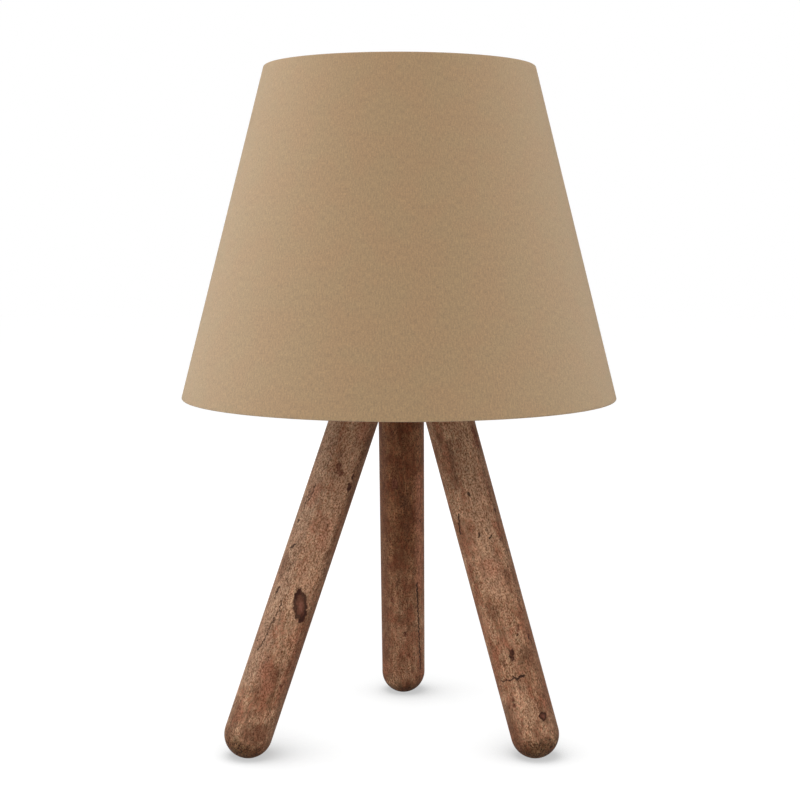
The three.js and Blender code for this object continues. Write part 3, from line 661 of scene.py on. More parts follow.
# Places on a leg are millimetres up from the foot's centre, and degrees round from
# the front to the right. A knot has both ends and its half width. A mark has its
# points, half width, tone and dent.
LEG_KNOTS = {
    "left": [((76.6, 8), (61.1, 40), 3.7)],
    "back": [],
    "right": [((10.9, 31), (6.6, 26.5), 2.2)],
}
LEG_MARKS = {
    "left": [
        ([(137.6, 47), (136.6, 48)], 0.7, "dark", 0.1),
        ([(132.5, 46), (131, 48)], 1.3, "dark", 0.1),
        ([(140.7, 2.5), (138, 7)], 1.3, "red", 0.0),
        ([(137.8, 17), (136.3, 14), (136.2, 8)], 0.7, "red", 0.0),
        ([(147.5, -2), (144, -1)], 0.5, "patch", 0.0),
        ([(128.4, -41), (125, -38), (121.3, -40), (119, -44)], 0.32, "crack", 0.12),
        ([(123.6, -48.5), (119.4, -52), (115.8, -51)], 0.3, "crack", 0.1),
        ([(108.7, -56.5), (107.3, -54.5)], 0.55, "crack", 0.0),
        ([(110.6, 22), (109.2, 24.5)], 0.5, "faint", 0.0),
        ([(93.8, -51), (96.7, -39)], 0.4, "crack", 0.1),
        ([(91.9, -31.5), (96.3, -18)], 0.6, "patch", 0.0),
        ([(73.8, -43), (73.2, -45.5), (71.2, -48.5)], 0.65, "crack", 0.2),
        ([(71.2, -48.5), (68.3, -47)], 0.35, "crack", 0.1),
        ([(68.6, -23.5), (63.7, -21.5), (60.6, -26)], 0.26, "crack", 0.12),
        ([(58.7, -25.5), (57.6, -27)], 0.6, "faint", 0.0),
        ([(62, 37), (66, 39)], 1.3, "dark", 0.0),
        ([(75.5, 10), (72, 5)], 0.9, "dark", 0.0),
        ([(59, -29), (54.2, -32.5), (49, -34.5), (44, -40), (41.8, -46), (42, -52.5)],
         0.3, "crack", 0.12),
        ([(76.3, -20), (79, -28.5), (83.6, -33.5), (88, -29)], 0.32, "faint", 0.1),
        ([(46, -59)], 0.6, "crack", 0.0),
        ([(40.3, -10.5)], 0.45, "crack", 0.0),
        ([(23, -13)], 1.3, "patch", 0.0),
        ([(28.6, 42.5)], 1.0, "red", 0.0),
        ([(25, 47.5)], 0.7, "patch", 0.0),
        ([(36, 21), (31, 21)], 2.4, "patch", 0.0),
        ([(52, 42.5)], 2.2, "blush", 0.0),
        ([(170, 30), (158, 36)], 3.6, "blush", 0.0),
        ([(112, 20), (100, 26)], 3.0, "blush", 0.0),
        ([(34, -6), (26, 10)], 3.4, "blush", 0.0),
        ([(88, -54), (80, -50)], 2.6, "patch", 0.0),
        ([(12, -62), (0, -50)], 4.6, "patch", 0.0),
        ([(118, -38), (126, -30)], 2.0, "blush", 0.0),
        ([(12.5, 2), (11, -8), (7.5, -12)], 1.2, "patch", 0.0),
        ([(2, 0), (4, 30)], 4.8, "patch", 0.0),
        # painted shade: a dark strip down the leg's right side
        ([(180, 68), (0, 68)], 4.5, "patch", 0.0),
        # lighter strip down the front, partly painted light at its top under the lampshade
        ([(166, 12), (120, 26), (66, 14)], 4.8, "pale", 0.0),
        # painted sheen and shade down the left leg's left side
        ([(156, -56), (110, -48), (30, -46)], 7.0, "bleached", 0.0),
    ],
    "back": [
        ([(62, 41), (34, 47)], 0.5, "crack", 0.2),
        ([(34, 47), (5, 54)], 0.45, "crack", 0.15),
        ([(31.5, 6), (31, 7)], 0.9, "red", 0.0),
        ([(39, 25), (33, 10)], 0.35, "faint", 0.0),
        ([(67, -9), (62, -17)], 0.6, "faint", 0.0),
        ([(55, -29), (51, -26)], 0.8, "red", 0.0),
        ([(154, -20), (152, -20)], 1.2, "patch", 0.0),
        ([(137, -17), (134.5, -17)], 1.2, "patch", 0.0),
        ([(126, -18), (123, -19)], 1.7, "red", 0.0),
        ([(116, 12), (111, 8)], 2.4, "patch", 0.0),
        ([(99.5, 14), (96.5, 15)], 1.7, "patch", 0.0),
        ([(72, -49), (70, -49)], 0.9, "faint", 0.0),
        ([(4, -46), (2, -46)], 2.0, "patch", 0.0),
        ([(100.5, 54), (99, 56)], 0.5, "crack", 0.0),
        ([(125, 50), (60, 52)], 3.0, "blush", 0.0),
        # painted shade: a dark strip down the back leg's left side
        ([(150, -66), (14, -62)], 5.0, "patch", 0.0),
    ],
    "right": [
        ([(149, -19), (128, -27)], 2.0, "patch", 0.0),
        ([(114.6, -46), (105.2, -58)], 0.55, "crack", 0.1),
        ([(112.7, 54), (111.7, 52.5)], 0.75, "dark", 0.0),
        ([(123.7, -3.5), (122.7, -5)], 0.55, "crack", 0.0),
        ([(103.4, -5.5), (101.5, -8)], 0.5, "crack", 0.0),
        ([(101, 22), (99.9, 16)], 0.45, "crack", 0.0),
        ([(107.5, 4), (101.5, 17)], 0.25, "faint", 0.1),
        ([(154, 54), (144.5, 55)], 1.2, "red", 0.0),
        ([(54.4, 27), (52.4, 25)], 0.6, "red", 0.0),
        ([(50.5, 19.5)], 0.55, "dark", 0.0),
        ([(49, 49), (45.2, 54)], 0.6, "dark", 0.1),
        ([(43.4, -5.2), (39.8, -7.6)], 1.25, "dark", 0.2),
        ([(30, -54), (30, -18.5)], 0.34, "crack", 0.05),
        ([(30.8, -16), (29.7, -9.5), (30.6, 9.5)], 0.62, "crack", 0.2),
        ([(27.3, -58)], 1.2, "patch", 0.0),
        ([(20.8, -31.5), (19.8, -31.5)], 0.8, "red", 0.0),
        ([(17.5, -33), (16.8, -33)], 0.8, "red", 0.0),
        ([(66, -23), (63.5, -22)], 2.8, "patch", 0.0),
        ([(80, 35), (77, 36)], 2.4, "patch", 0.0),
        ([(70.7, 38)], 1.6, "patch", 0.0),
        ([(41, -36), (39, -35)], 1.6, "patch", 0.0),
        ([(41, 30), (36, 32)], 2.6, "patch", 0.0),
        ([(88, -5), (84, 0)], 3.0, "blush", 0.0),
        # painted shade: a dark strip down the leg's right side
        ([(180, 70), (0, 70)], 5.0, "patch", 0.0),
        # lighter strip down the front, partly painted light on the leg's middle
        ([(178, 30), (122, 14), (96, 2), (74, 4)], 4.6, "pale", 0.0),
        ([(16, 4), (10, 2)], 3.0, "pale", 0.0),
        ([(14, -66), (0, -58)], 4.6, "patch", 0.0),
    ],
}
STAIN_AND_SHADE_LEVELS = (20.0, 100.0)  # millimetres up from the foot's centre
# the back leg's rise from 0.26 to 0.76 is a real stain and partly painted shade under the
# lampshade
LEG_STAIN_AND_SHADE = {"left": (0.02, 0.0), "back": (0.26, 0.76), "right": (0.1, 0.1)}
LEG_SEED = {"left": (0.0, 0.0, 0.0), "back": (70.0, 20.0, 300.0), "right": (140.0, 90.0, 600.0)}
HUB_STAIN = (0.25, 0.25)
HUB_SEED = (300.0, 40.0, 80.0)


def cloth_material():
    """Tan cotton: the weave runs round the shade, with its join at the back. The
    place is the turn from the front times the mean radius, and the height."""
    cool, warm = rgba(0.426, 0.269, 0.116), rgba(0.436, 0.264, 0.113)
    yarn_pitch = 0.42
    mean_radius = (SHADE_FOOT_RADIUS + SHADE_TOP_RADIUS) / 2
    material, nodes, surface, place = new_material("tan_cloth")
    place = nodes.parts(in_millimetres(nodes, place))
    turn = nodes.math("ARCTAN2", place[0], nodes.times(place[1], -1.0))
    flat = {0: nodes.times(turn, mean_radius), 1: place[2]}
    flat = nodes.add("ShaderNodeCombineXYZ", flat).outputs[0]
    weave = nodes.group("Plain weave", Place=flat, Yarn=np.pi / yarn_pitch)
    color = nodes.blend(weave["Warmth"], cool, warm)
    color = nodes.scaled(color, nodes.plus(1.0, weave["Tone"]))
    nodes.feed(surface.inputs["Base Color"], color)
    nodes.feed(surface.inputs["Roughness"], nodes.ramp(weave["Tone"], -0.2, 0.2, 0.95, 0.8))
    add_relief(nodes, surface, weave["Height"], 0.05)
    surface.inputs["Diffuse Roughness"].default_value = 1.0
    surface.inputs["Sheen Weight"].default_value = 0.24
    surface.inputs["Sheen Roughness"].default_value = 0.9
    surface.inputs["Specular IOR Level"].default_value = 0.2
    return material


FINISHES = {
    "tan_fabric": cloth_material(),
    "white_lining": grained(
        "liner", rgba(0.82, 0.79, 0.72), 0.55, fineness=1.5, tone=0.06, relief=0.03),
    "white_wire": grained(
        "wire_coat", rgba(0.74, 0.72, 0.68), 0.4, fineness=1.8, tone=0.1, relief=0.06),
    "black_plastic": grained(
        "phenolic", rgba(0.013, 0.012, 0.012), 0.34, fineness=2.5, tone=0.5, relief=0.015),
    "pale_ceramic": grained(
        "steatite", rgba(0.79, 0.76, 0.69), 0.6, fineness=3.0, tone=0.12, relief=0.04),
    "brass": grained(
        "pressed_brass", rgba(0.71, 0.46, 0.17), 0.3,
        fineness=1.2, tone=0.25, relief=0.01, clouds=0.8, metal=1.0),
    "zinc_steel": grained(
        "zinc_plate", rgba(0.55, 0.56, 0.57), 0.36,
        fineness=1.4, tone=0.25, relief=0.015, clouds=0.6, metal=1.0),
    "nickel": grained(
        "nickel_plate", rgba(0.62, 0.59, 0.54), 0.26,
        fineness=1.1, tone=0.15, relief=0.008, clouds=0.5, metal=1.0),
    "opal_glass": grained(
        "opal", rgba(0.86, 0.83, 0.78), 0.16,
        fineness=0.4, tone=0.04, relief=0.01, clouds=0.1, spread=0.05),
    "white_plastic": grained(
        "collar_plastic", rgba(0.82, 0.81, 0.78), 0.42, fineness=2.0, tone=0.06, relief=0.02),
}


# ---- pieces ----
def piece(mesh, body, slot, *nodes, material=None, crease=40.0):
    """An object of the mesh that rides on a body and stands for the CAD nodes.
    Edges sharper than the crease stay sharp, and the rest is shaded smooth."""
    mesh.shade_smooth()
    mesh.set_sharp_from_angle(angle=np.radians(crease))
    mesh.materials.append(material or FINISHES[slot])
    shown = bpy.data.objects.new(mesh.name, mesh)
    bpy.context.scene.collection.objects.link(shown)
    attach(shown, body)
    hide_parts(*nodes)
    return shown


def pieces(body, *rows):
    """A piece on the body for each row of name, grid of points, slot and CAD node."""
    for name, points, slot, node in rows:
        piece(skin(name, points), body, slot, node)


def rod_frame(side):
    """A rod's foot centre, seat centre, and the front, right and along directions
    of its own frame: along runs from foot to seat, and right lies level or nearly."""
    foot_reach, foot_turn, seat_reach, seat_turn = LEG_PLACES[side]
    foot = polar(foot_reach, foot_turn, FOOT_CENTRE_HEIGHT)
    seat = polar(seat_reach, seat_turn, SEAT_LEVEL)
    along = unit(seat - foot)
    front = unit(np.cross(along, [1.0, 0.0, 0.0]))
    front = front if front[1] < 0 else -front
    return foot, seat, front, np.cross(along, front), along


def screw_place(side, level):
    """Where a leg's screw goes down, half its bite's lean out from the seat, as a
    point on the screw's axis at a level."""
    _, seat, _, _, along = rod_frame(side)
    outward = unit(np.array([-along[0], -along[1], 0.0]))
    place = seat + outward * np.tan(np.arccos(along[2])) * LEG_SCREW_BITE / 2
    return place * [1, 1, 0] + [0, 0, level]


def leg_fields(turn, along, marks, knots):
    """The marks and knots of a rod's face, measured in millimetres on the unrolled
    face, which small sines bend to and fro. Each tone's field is the distance
    from the edge of its nearest mark. The knots' field is the distance on their
    ellipses. The last is how deep they sink the face: a mark's dent fades over
    the distance, and a knot has a groove at its edge and a raised middle."""
    far, bend, small_bend = 9.0, 0.3, 0.14
    edge_fade, knot_groove, knot_rise = 0.6, 0.35, 0.25
    around = turn * LEG_RADIUS + 0 * along
    across = around + bend * np.sin(1.9 * along + 0.6 * around)
    across = across + small_bend * np.sin(4.3 * along - 2.1 * around)
    level = along + bend * np.sin(1.7 * around - 0.5 * along + 1)
    level = level + small_bend * np.sin(4.7 * around + 1.9 * along)
    fields = {label: np.full(around.shape, far) for label in [*MARK_TONES, "knot"]}
    depth = np.zeros(around.shape)

    def spread(start, end):
        """First point, way to the second, and each vertex's share of that way."""
        ends = [[point[0], np.radians(point[1]) * LEG_RADIUS] for point in (start, end)]
        first, second = np.array(ends)
        stretch = second - first
        steps = (level - first[0]) * stretch[0] + (across - first[1]) * stretch[1]
        return first, stretch, steps / max(stretch @ stretch, 1e-6)

    def beside(first, stretch, share):
        """Distance of each vertex from its share of the way."""
        return np.hypot(level - first[0] - share * stretch[0],
                        across - first[1] - share * stretch[1])

    for points, half_width, tone, dent in marks:
        for start, end in list(zip(points[:-1], points[1:])) or [(points[0], points[0])]:
            first, stretch, share = spread(start, end)
            away = beside(first, stretch, np.clip(share, 0, 1))
            fields[tone] = np.minimum(fields[tone], away - half_width)
            fade = 1 - smooth_step(away, 0.4 * half_width, half_width + edge_fade)
            depth = np.maximum(depth, dent * fade)
    for start, end, half_width in knots:
        first, stretch, share = spread(start, end)
        distance = np.hypot(2 * share - 1, beside(first, stretch, share) / half_width)
        fields["knot"] = np.minimum(fields["knot"], distance)
        groove = smooth_step(distance, 0.5, 0.8) * (1 - smooth_step(distance, 0.9, 1.2))
        depth += knot_groove * groove - knot_rise * (1 - smooth_step(distance, 0.1, 0.6))
    return fields, depth


def leg_surface(side):
    """A round rod with a ball foot. On the ball the radius is the rod's times the
    cosine of the latitude. The rod then runs up to the level plane under the hub,
    in over that plane to the screw's hole, and down the hole. The lowest part of
    the ball is flattened on the floor. The columns lie closer at the front, by a
    sine taken from the turn. Also gives the fields of the marks."""
    foot, _, front, right, along = rod_frame(side)
    columns, ball_rows, rod_rows, crowding = 192, 32, 420, 0.4
    plane_shares = np.array([0.03, 0.4, 1.0])[:, None, None]
    turn = (np.arange(columns) + 0.5) * FULL_TURN / columns - np.pi
    turn = turn - crowding * np.sin(turn)
    outward = np.cos(turn)[:, None] * front + np.sin(turn)[:, None] * right
    latitude = np.radians(np.linspace(-90, 0, ball_rows))[:, None, None]
    ball = foot + LEG_RADIUS * (np.sin(latitude) * along + np.cos(latitude) * outward)
    ball[..., 2] = np.maximum(ball[..., 2], 0)
    top = (LEG_TOP - foot[2] - LEG_RADIUS * outward[:, 2]) / along[2]
    height = np.linspace(0, 1, rod_rows)[1:, None] * top
    ball_height = LEG_RADIUS * np.sin(latitude[..., 0]) + 0 * turn
    rows_inside = len(plane_shares) + 2
    level = np.concatenate([ball_height, height, np.repeat(height[-1:], rows_inside, axis=0)])
    fields, depth = leg_fields(turn, level, LEG_MARKS[side], LEG_KNOTS[side])
    radius = LEG_RADIUS - depth[ball_rows:][:rod_rows - 1]
    rod = foot + height[..., None] * along + radius[..., None] * outward
    hole, rim = screw_place(side, LEG_TOP), rod[-1]
    mouth = hole + unit((rim - hole) * [1, 1, 0]) * LEG_SCREW_HOLE_RADIUS
    plane = rim + (mouth - rim) * plane_shares
    drop = np.array([0.0, 0.0, LEG_SCREW_BITE])
    pit = np.stack([mouth - drop, np.broadcast_to(hole - drop, mouth.shape)])
    return np.concatenate([ball, rod, plane, pit]), fields


for side in LEG_PLACES:
    foot, _, front, right, along = rod_frame(side)
    turn = Matrix((front, right, along)).transposed().to_euler()
    wood = stained_rod(
        side + "_rod_wood", foot * MM, turn, LEG_SEED[side], LEG_STAIN_AND_SHADE[side], marked=True)
    points, fields = leg_surface(side)
    rod = skin(side + "_rod", points, fields)
    piece(rod, "stand", "stained_wood", "leg_" + side, material=wood)


def screw_surface(length, radius, head_radius, edge, slot_width, slot_depth, cross=False):
    """A screw about +Z with its head's top at zero: point, threaded shank, a cone
    up to the head's edge, which lies so far under the top, and a slot or a cross
    let into the head's face."""
    tip, bevel, face_bevel = min(6.0, length * 0.3), 0.15, 0.2
    under = -edge - (head_radius - radius)
    shank = [[0, -length], [radius, tip - length], [radius, under]]
    head = [[head_radius, -edge], [head_radius, -bevel]]
    face = [[head_radius * share, 0] for share in np.linspace(0.9, 0, 24)]
    outline = finely(shank + head, 0.25, closed=False)
    outline = np.concatenate([outline, [[head_radius - face_bevel, 0]], face])
    points = turned(outline, sides=72)
    low, high = tip - length, under - radius
    pitch, depth = radius * 0.8, radius * 0.25
    points = threaded(points, radius, pitch, depth, low, high)
    reach, _ = reach_and_turn(points)
    on_face = (points[..., 2] > -0.01) & (reach < head_radius * (0.6 if cross else 2))
    across = np.abs(points[..., :2] if cross else points[..., :1])
    slot = 1 - smooth_step(across, slot_width * 0.4, slot_width * 0.6)
    points[..., 2] -= slot_depth * slot.max(axis=-1) * on_face
    return points


for side in LEG_PLACES:
    screw = screw_surface(
        LEG_SCREW_LENGTH, radius=2.0, head_radius=4.0, edge=0.5,
        slot_width=1.1, slot_depth=1.4, cross=True)
    screw = screw + screw_place(side, HUB_TOP - LEG_SCREW_SINK)
    pieces("stand", (side + "_leg_screw", screw, "zinc_steel", "leg_screw_" + side))


def cut_away(mesh, cutters):
    """The mesh less each cutter, by exact solid subtraction."""
    target = bpy.data.objects.new(mesh.name + "_blank", mesh)
    bpy.context.scene.collection.objects.link(target)
    for cutter in cutters:
        tool = bpy.data.objects.new(cutter.name, cutter)
        bpy.context.scene.collection.objects.link(tool)
        step = target.modifiers.new(cutter.name, "BOOLEAN")
        step.operation, step.solver, step.object = "DIFFERENCE", "EXACT", tool
    shown = target.evaluated_get(bpy.context.evaluated_depsgraph_get())
    result = bpy.data.meshes.new_from_object(shown)
    for step in target.modifiers[:]:
        bpy.data.objects.remove(step.object)
    bpy.data.objects.remove(target)
    result.name = mesh.name.replace("_blank", "")
    return result


def hub_mesh():
    """A turned disc with a nut recess, three countersunk screw holes and an arched
    groove for the cord from the recess out to the rim at -X."""
    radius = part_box("hub")[1][0] / MM
    bore, foot_bevel, soft_edge, soft_rim = TUBE_RADIUS + FIT_GAP, 1, 3, 0.9
    outline = [
        [NUT_RECESS_RADIUS, 0], [radius - foot_bevel, 0], [radius, foot_bevel],
        [radius, HUB_THICKNESS - soft_edge],
        [radius - soft_rim, HUB_THICKNESS - soft_rim], [radius - soft_edge, HUB_THICKNESS],
        [bore, HUB_THICKNESS], [bore, NUT_RECESS_DEPTH], [NUT_RECESS_RADIUS, NUT_RECESS_DEPTH],
    ]
    disc = skin("hub_wood_blank", turned(rounded(outline, 0.7), 160, SEAT_LEVEL))
    head_room, sink_top, sink_foot, past = LEG_SCREW_HOLE_RADIUS + 2.0, -1.1, -3.1, 2
    sink = [
        [0, -HUB_THICKNESS - past], [LEG_SCREW_HOLE_RADIUS, -HUB_THICKNESS - past],
        [LEG_SCREW_HOLE_RADIUS, sink_foot], [head_room, sink_top], [head_room, past], [0, past],
    ]
    holes = [skin("hole", turned(sink, 40) + screw_place(side, HUB_TOP)) for side in LEG_PLACES]
    half = BUSH_RADIUS + FIT_GAP
    arch = bow([0, BUSH_LEVEL], half, 0, np.pi, 24)
    section = np.concatenate([[[half, SEAT_LEVEL - past]], arch, [[-half, SEAT_LEVEL - past]]])
    middle = np.array([0.0, SEAT_LEVEL + 2])
    shrink = np.array([0.0, 1.0, 1.0, 0.0])[:, None, None]
    groove = middle + (section - middle) * shrink
    length = np.array([-radius - past, -radius - past, 0.0, 0.0])[:, None, None]
    length = np.broadcast_to(length, groove.shape[:2] + (1,))
    groove = np.concatenate([length, groove], axis=-1)
    return cut_away(disc, [*holes, skin("groove", groove[:, ::-1])])


lying = (0.0, np.pi / 2, 0.0)
hub_wood = stained_rod("hub_wood", (0.0, 0.0, HUB_TOP * MM), lying, HUB_SEED, HUB_STAIN)
piece(hub_mesh(), "stand", "stained_wood", "hub", material=hub_wood)


def tube_surface():
    """Threaded tube: a helix of triangular form on the outside of a plain bore."""
    under_web, into_holder, pitch, depth = 5.0, 8.1, 1.0, 0.5
    foot, head = SEAT_LEVEL + NUT_RECESS_DEPTH - under_web, HOLDER_BASE + into_holder
    outline = [
        [TUBE_BORE_RADIUS, foot], [TUBE_RADIUS, foot], [TUBE_RADIUS, head],
        [TUBE_BORE_RADIUS, head],
    ]
    points = turned(finely(rounded(outline, 0.25), 0.125), sides=64)
    return threaded(points, TUBE_RADIUS, pitch, depth, foot, head)


def nut_surface(base):
    """Hexagon nut: the radius at each turn is half the width across flats over the
    cosine of the turn from the nearest flat's middle, kept within a cone that
    bevels the corners."""
    half, bevel_top, bevel_foot = NUT_ACROSS_FLATS / 2, 0.2, 0.6
    turn = full_circle(144)
    from_flat = (turn + np.pi / 6) % (np.pi / 3) - np.pi / 6
    corner = half / np.cos(from_flat)
    face = np.full_like(turn, half * 0.97)
    bore = np.full_like(turn, TUBE_RADIUS + FIT_GAP)
    bevel = np.minimum(corner, half * 1.03)
    radius = np.stack([bore, face, bevel, corner, corner, bevel, face, bore])
    foot = np.array([0, 0, bevel_top, bevel_foot])
    level = np.concatenate([foot, NUT_HEIGHT - foot[::-1]])[:, None]
    return swung(radius, turn, base + level)


def flat_ring(inner, outer, thickness, edge, sides, base):
    """A flat ring with softly rounded edges."""
    outline = [[inner, 0], [outer, 0], [outer, thickness], [inner, thickness]]
    return turned(rounded(outline, edge), sides, base)


def washer_surface(base):
    """A washer on the tube."""
    return flat_ring(TUBE_RADIUS + FIT_GAP, WASHER_RADIUS, WASHER_THICKNESS, 0.2, 96, base)


def bush_surface():
    """Flanged sleeve about -X, flared where the cord leaves it."""
    flange, thickness, length, flare = BUSH_RADIUS + 1.8, 1.5, 9, 0.5
    outline = [
        [BUSH_BORE_RADIUS, -length], [BUSH_RADIUS, -length], [BUSH_RADIUS, 0], [flange, 0],
        [flange, thickness], [BUSH_BORE_RADIUS + flare, thickness],
        [BUSH_BORE_RADIUS, thickness - flare],
    ]
    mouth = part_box("cord_bush")[0][0] / MM + thickness
    return laid(turned(rounded(outline, 0.5), sides=72), (-1, 0, 0), (mouth, 0, BUSH_LEVEL))


washer_base = SEAT_LEVEL + NUT_RECESS_DEPTH - WASHER_THICKNESS
pieces(
    "stand",
    ("thread_tube", tube_surface(), "zinc_steel", "threaded_tube"),
    ("hexagon_nut", nut_surface(washer_base - NUT_HEIGHT), "zinc_steel", "tube_nut"),
    ("lower_washer", washer_surface(washer_base), "zinc_steel", "washer_under"),
    ("upper_washer", washer_surface(HUB_TOP), "zinc_steel", "washer_over"),
    ("cord_inlet_bush", bush_surface(), "black_plastic", "cord_bush"),
)


def holder_cap_surface():
    """Domed cap: a collar, a quarter ellipse out to the full radius, and a ribbed
    band under the mouth."""
    bore, collar, collar_top, floor = TUBE_RADIUS + FIT_GAP, 9, 5, 9
    dome_height, band_foot, wall, ledge, ledge_level = 10, 15, 17.25, 14.95, 10.5
    dome = bow([collar, band_foot], [CAP_RADIUS - collar, dome_height], -np.pi / 2, 0, 14)
    lower = rounded(
        [[bore, floor], [bore, 0], [collar, 0], [collar, collar_top]], 0.6, closed=False)
    upper = rounded([
        [CAP_RADIUS, band_foot], [CAP_RADIUS, CAP_HEIGHT], [wall, CAP_HEIGHT],
        [wall, ledge_level], [ledge, ledge_level], [ledge, floor], [bore, floor],
    ], 0.4, closed=False)
    outline = finely(np.concatenate([lower[:-1], dome[1:-1], upper[:-1]]), 0.6)
    ribs, rib_depth, rib_band = 60, 0.5, HOLDER_BASE + np.array([15.2, 19.3])
    return ribbed(turned(outline, 240, HOLDER_BASE), CAP_RADIUS, ribs, rib_depth, *rib_band)


def holder_skirt_surface():
    """Sleeve with its shoulder and the round thread that the clamp ring runs on."""
    wall, foot, foot_radius, lip = 14.55, 16.8, 16.95, 13.95
    bevel_foot, bevel_radius = 43.2, 18.35
    outline = [
        [wall, foot], [foot_radius, foot], [foot_radius, CAP_HEIGHT],
        [SHOULDER_RADIUS, CAP_HEIGHT], [SHOULDER_RADIUS, SHOULDER_TOP],
        [SLEEVE_RADIUS, SHOULDER_TOP], [SLEEVE_RADIUS, bevel_foot],
        [bevel_radius, SLEEVE_TOP], [lip, SLEEVE_TOP], [lip, bevel_foot], [wall, bevel_foot],
    ]
    points = turned(finely(rounded(outline, 0.4), 0.4), 200, HOLDER_BASE)
    ribs, rib_depth, rib_band = 40, 0.5, HOLDER_BASE + np.array([20.2, 22.3])
    points = ribbed(points, SHOULDER_RADIUS, ribs, rib_depth, *rib_band)
    pitch, depth, run = 3.2, 0.9, HOLDER_BASE + np.array([23, 42.8])
    return threaded(points, SLEEVE_RADIUS, pitch, depth, *run, round_form=True)


def screw_shell_surface():
    """Rolled brass shell: both faces of a thin wall follow the same round thread."""
    lip, inside, outside, wall = 9.65, 14.15, 14.45, 0.5
    outline = [
        [lip, SHELL_FOOT], [outside, SHELL_FOOT], [outside, SHELL_TOP], [inside, SHELL_TOP],
        [inside, SHELL_FOOT + wall], [lip, SHELL_FOOT + wall],
    ]
    points = turned(finely(rounded(outline, 0.15), 0.3), 96, HOLDER_BASE)
    low, high = HOLDER_BASE + SHELL_FOOT + 1, HOLDER_BASE + SHELL_TOP - 0.6
    for radius in (outside, inside):
        points = threaded(points, radius, BULB_PITCH, 0.5, low, high, round_form=True)
    return points


def clamp_ring_surface():
    """Flanged ring with a grip of rounded ribs round its collar."""
    bore, flange, collar = SLEEVE_RADIUS + 0.4, SLEEVE_RADIUS + 5.3, SLEEVE_RADIUS + 3.4
    flange_top, top = 2.2, 8
    outline = [
        [bore, 0], [flange, 0], [flange, flange_top], [collar, flange_top], [collar, top],
        [bore, top],
    ]
    base = CARRIER_LEVEL + CARRIER_THICKNESS
    points = turned(finely(rounded(outline, 0.4), 0.5), 288, base)
    ribs, rib_depth, rib_band = 36, 0.8, base + np.array([2.4, 7.4])
    return ribbed(points, collar, ribs, rib_depth, *rib_band)


grub_screw = screw_surface(
    3.6, radius=1.5, head_radius=1.5, edge=0.01, slot_width=0.5, slot_depth=0.5)
grub_screw = laid(grub_screw, (0, 1, 0), (0, 8.9, HOLDER_BASE + 2.5))
pieces(
    "stand",
    ("holder_cap", holder_cap_surface(), "black_plastic", "lampholder_cap"),
    ("holder_skirt", holder_skirt_surface(), "black_plastic", "lampholder_skirt"),
    ("rolled_shell", screw_shell_surface(), "brass", "screw_shell"),
    ("grub_screw", grub_screw, "zinc_steel", "cap_grub_screw"),
)
pieces("shade_clamp", ("shade_clamp_ring", clamp_ring_surface(), "black_plastic", "clamp_ring"))
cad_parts["lampholder_core"].data.materials[0] = FINISHES["pale_ceramic"]
for node in ("centre_contact", "terminal_screw_live", "terminal_screw_neutral"):
    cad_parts[node].data.materials[0] = FINISHES["brass"]


# ---- shade ----
def inside_cone(inset, level):
    """Radius and height of a point so far inside the shade's outer face."""
    radius = SHADE_FOOT_RADIUS - (level - SHADE_FOOT) * np.tan(SLOPE)
    return np.array([radius - inset / np.cos(SLOPE), level])


TOP_WIRE = inside_cone(WIRE_INSET, SHADE_TOP - WRAP_RADIUS)
FOOT_WIRE = inside_cone(WIRE_INSET, SHADE_FOOT + WRAP_RADIUS)


def cloth_line(inset):
    """Section of the cloth at an inset from its outer face, from the lower hem's
    free edge inside, under the lower wire, round a tight corner, up the cone, and
    back over the upper wire in the same way. Wraps and corners are circles."""
    hem_steps, wrap_steps, corner_steps, face_steps = 8, 14, 9, 40
    middle_wrap = WRAP_RADIUS - CLOTH_THICKNESS / 2
    nearest = WIRE_RADIUS - CLOTH_THICKNESS / 2
    tuck = np.arccos(-nearest / np.hypot(middle_wrap, HEM_WIDTH))
    turn_in = np.pi + tuck - np.arctan2(HEM_WIDTH, middle_wrap)
    upright, wrap = np.pi / 2, WRAP_RADIUS - inset

    def hem(wire, sense):
        """Straight from the cloth's free edge to where the wrap round a wire starts."""
        out = SLOPE + sense * turn_in
        share = np.linspace(1, 0, hem_steps)[:, None]
        start = wire + wrap * np.array([np.cos(out), np.sin(out)])
        return start + share * sense * HEM_WIDTH * np.array([-np.sin(out), np.cos(out)])

    foot_fold = inside_cone(FOOT_FOLD_RADIUS, SHADE_FOOT + FOOT_FOLD_RADIUS)
    top_fold = inside_cone(TOP_FOLD_RADIUS, SHADE_TOP - TOP_FOLD_RADIUS)
    foot_corner = bow(foot_fold, FOOT_FOLD_RADIUS - inset, -upright, SLOPE, corner_steps)
    top_corner = bow(top_fold, TOP_FOLD_RADIUS - inset, SLOPE, upright, corner_steps)
    share = np.linspace(0, 1, face_steps)[1:-1, None]
    return np.concatenate([
        hem(FOOT_WIRE, -1)[:-1],
        bow(FOOT_WIRE, wrap, SLOPE - turn_in, -upright, wrap_steps),
        foot_corner,
        foot_corner[-1] + share * (top_corner[0] - foot_corner[-1]),
        top_corner,
        bow(TOP_WIRE, wrap, upright, SLOPE + turn_in, wrap_steps),
        hem(TOP_WIRE, 1)[::-1][1:],
    ])


def cloth_turns(edges):
    """Turns of the cloth's columns in degrees: even ones, the edges, and those of
    the lap. One that lies too close before the next is left out."""
    step, closest, edge_drop = 1.2, 0.1, 0.12
    even = np.arange(round(360 / step)) * step
    lap = (LAP_END, LAP_END + edge_drop, LAP_START, LAP_UNDER)
    turn = np.unique(np.round([*even, *edges, *lap], 3))
    far_enough = np.concatenate([np.diff(turn) > closest, [True]])
    return turn[far_enough | (turn == LAP_END)]


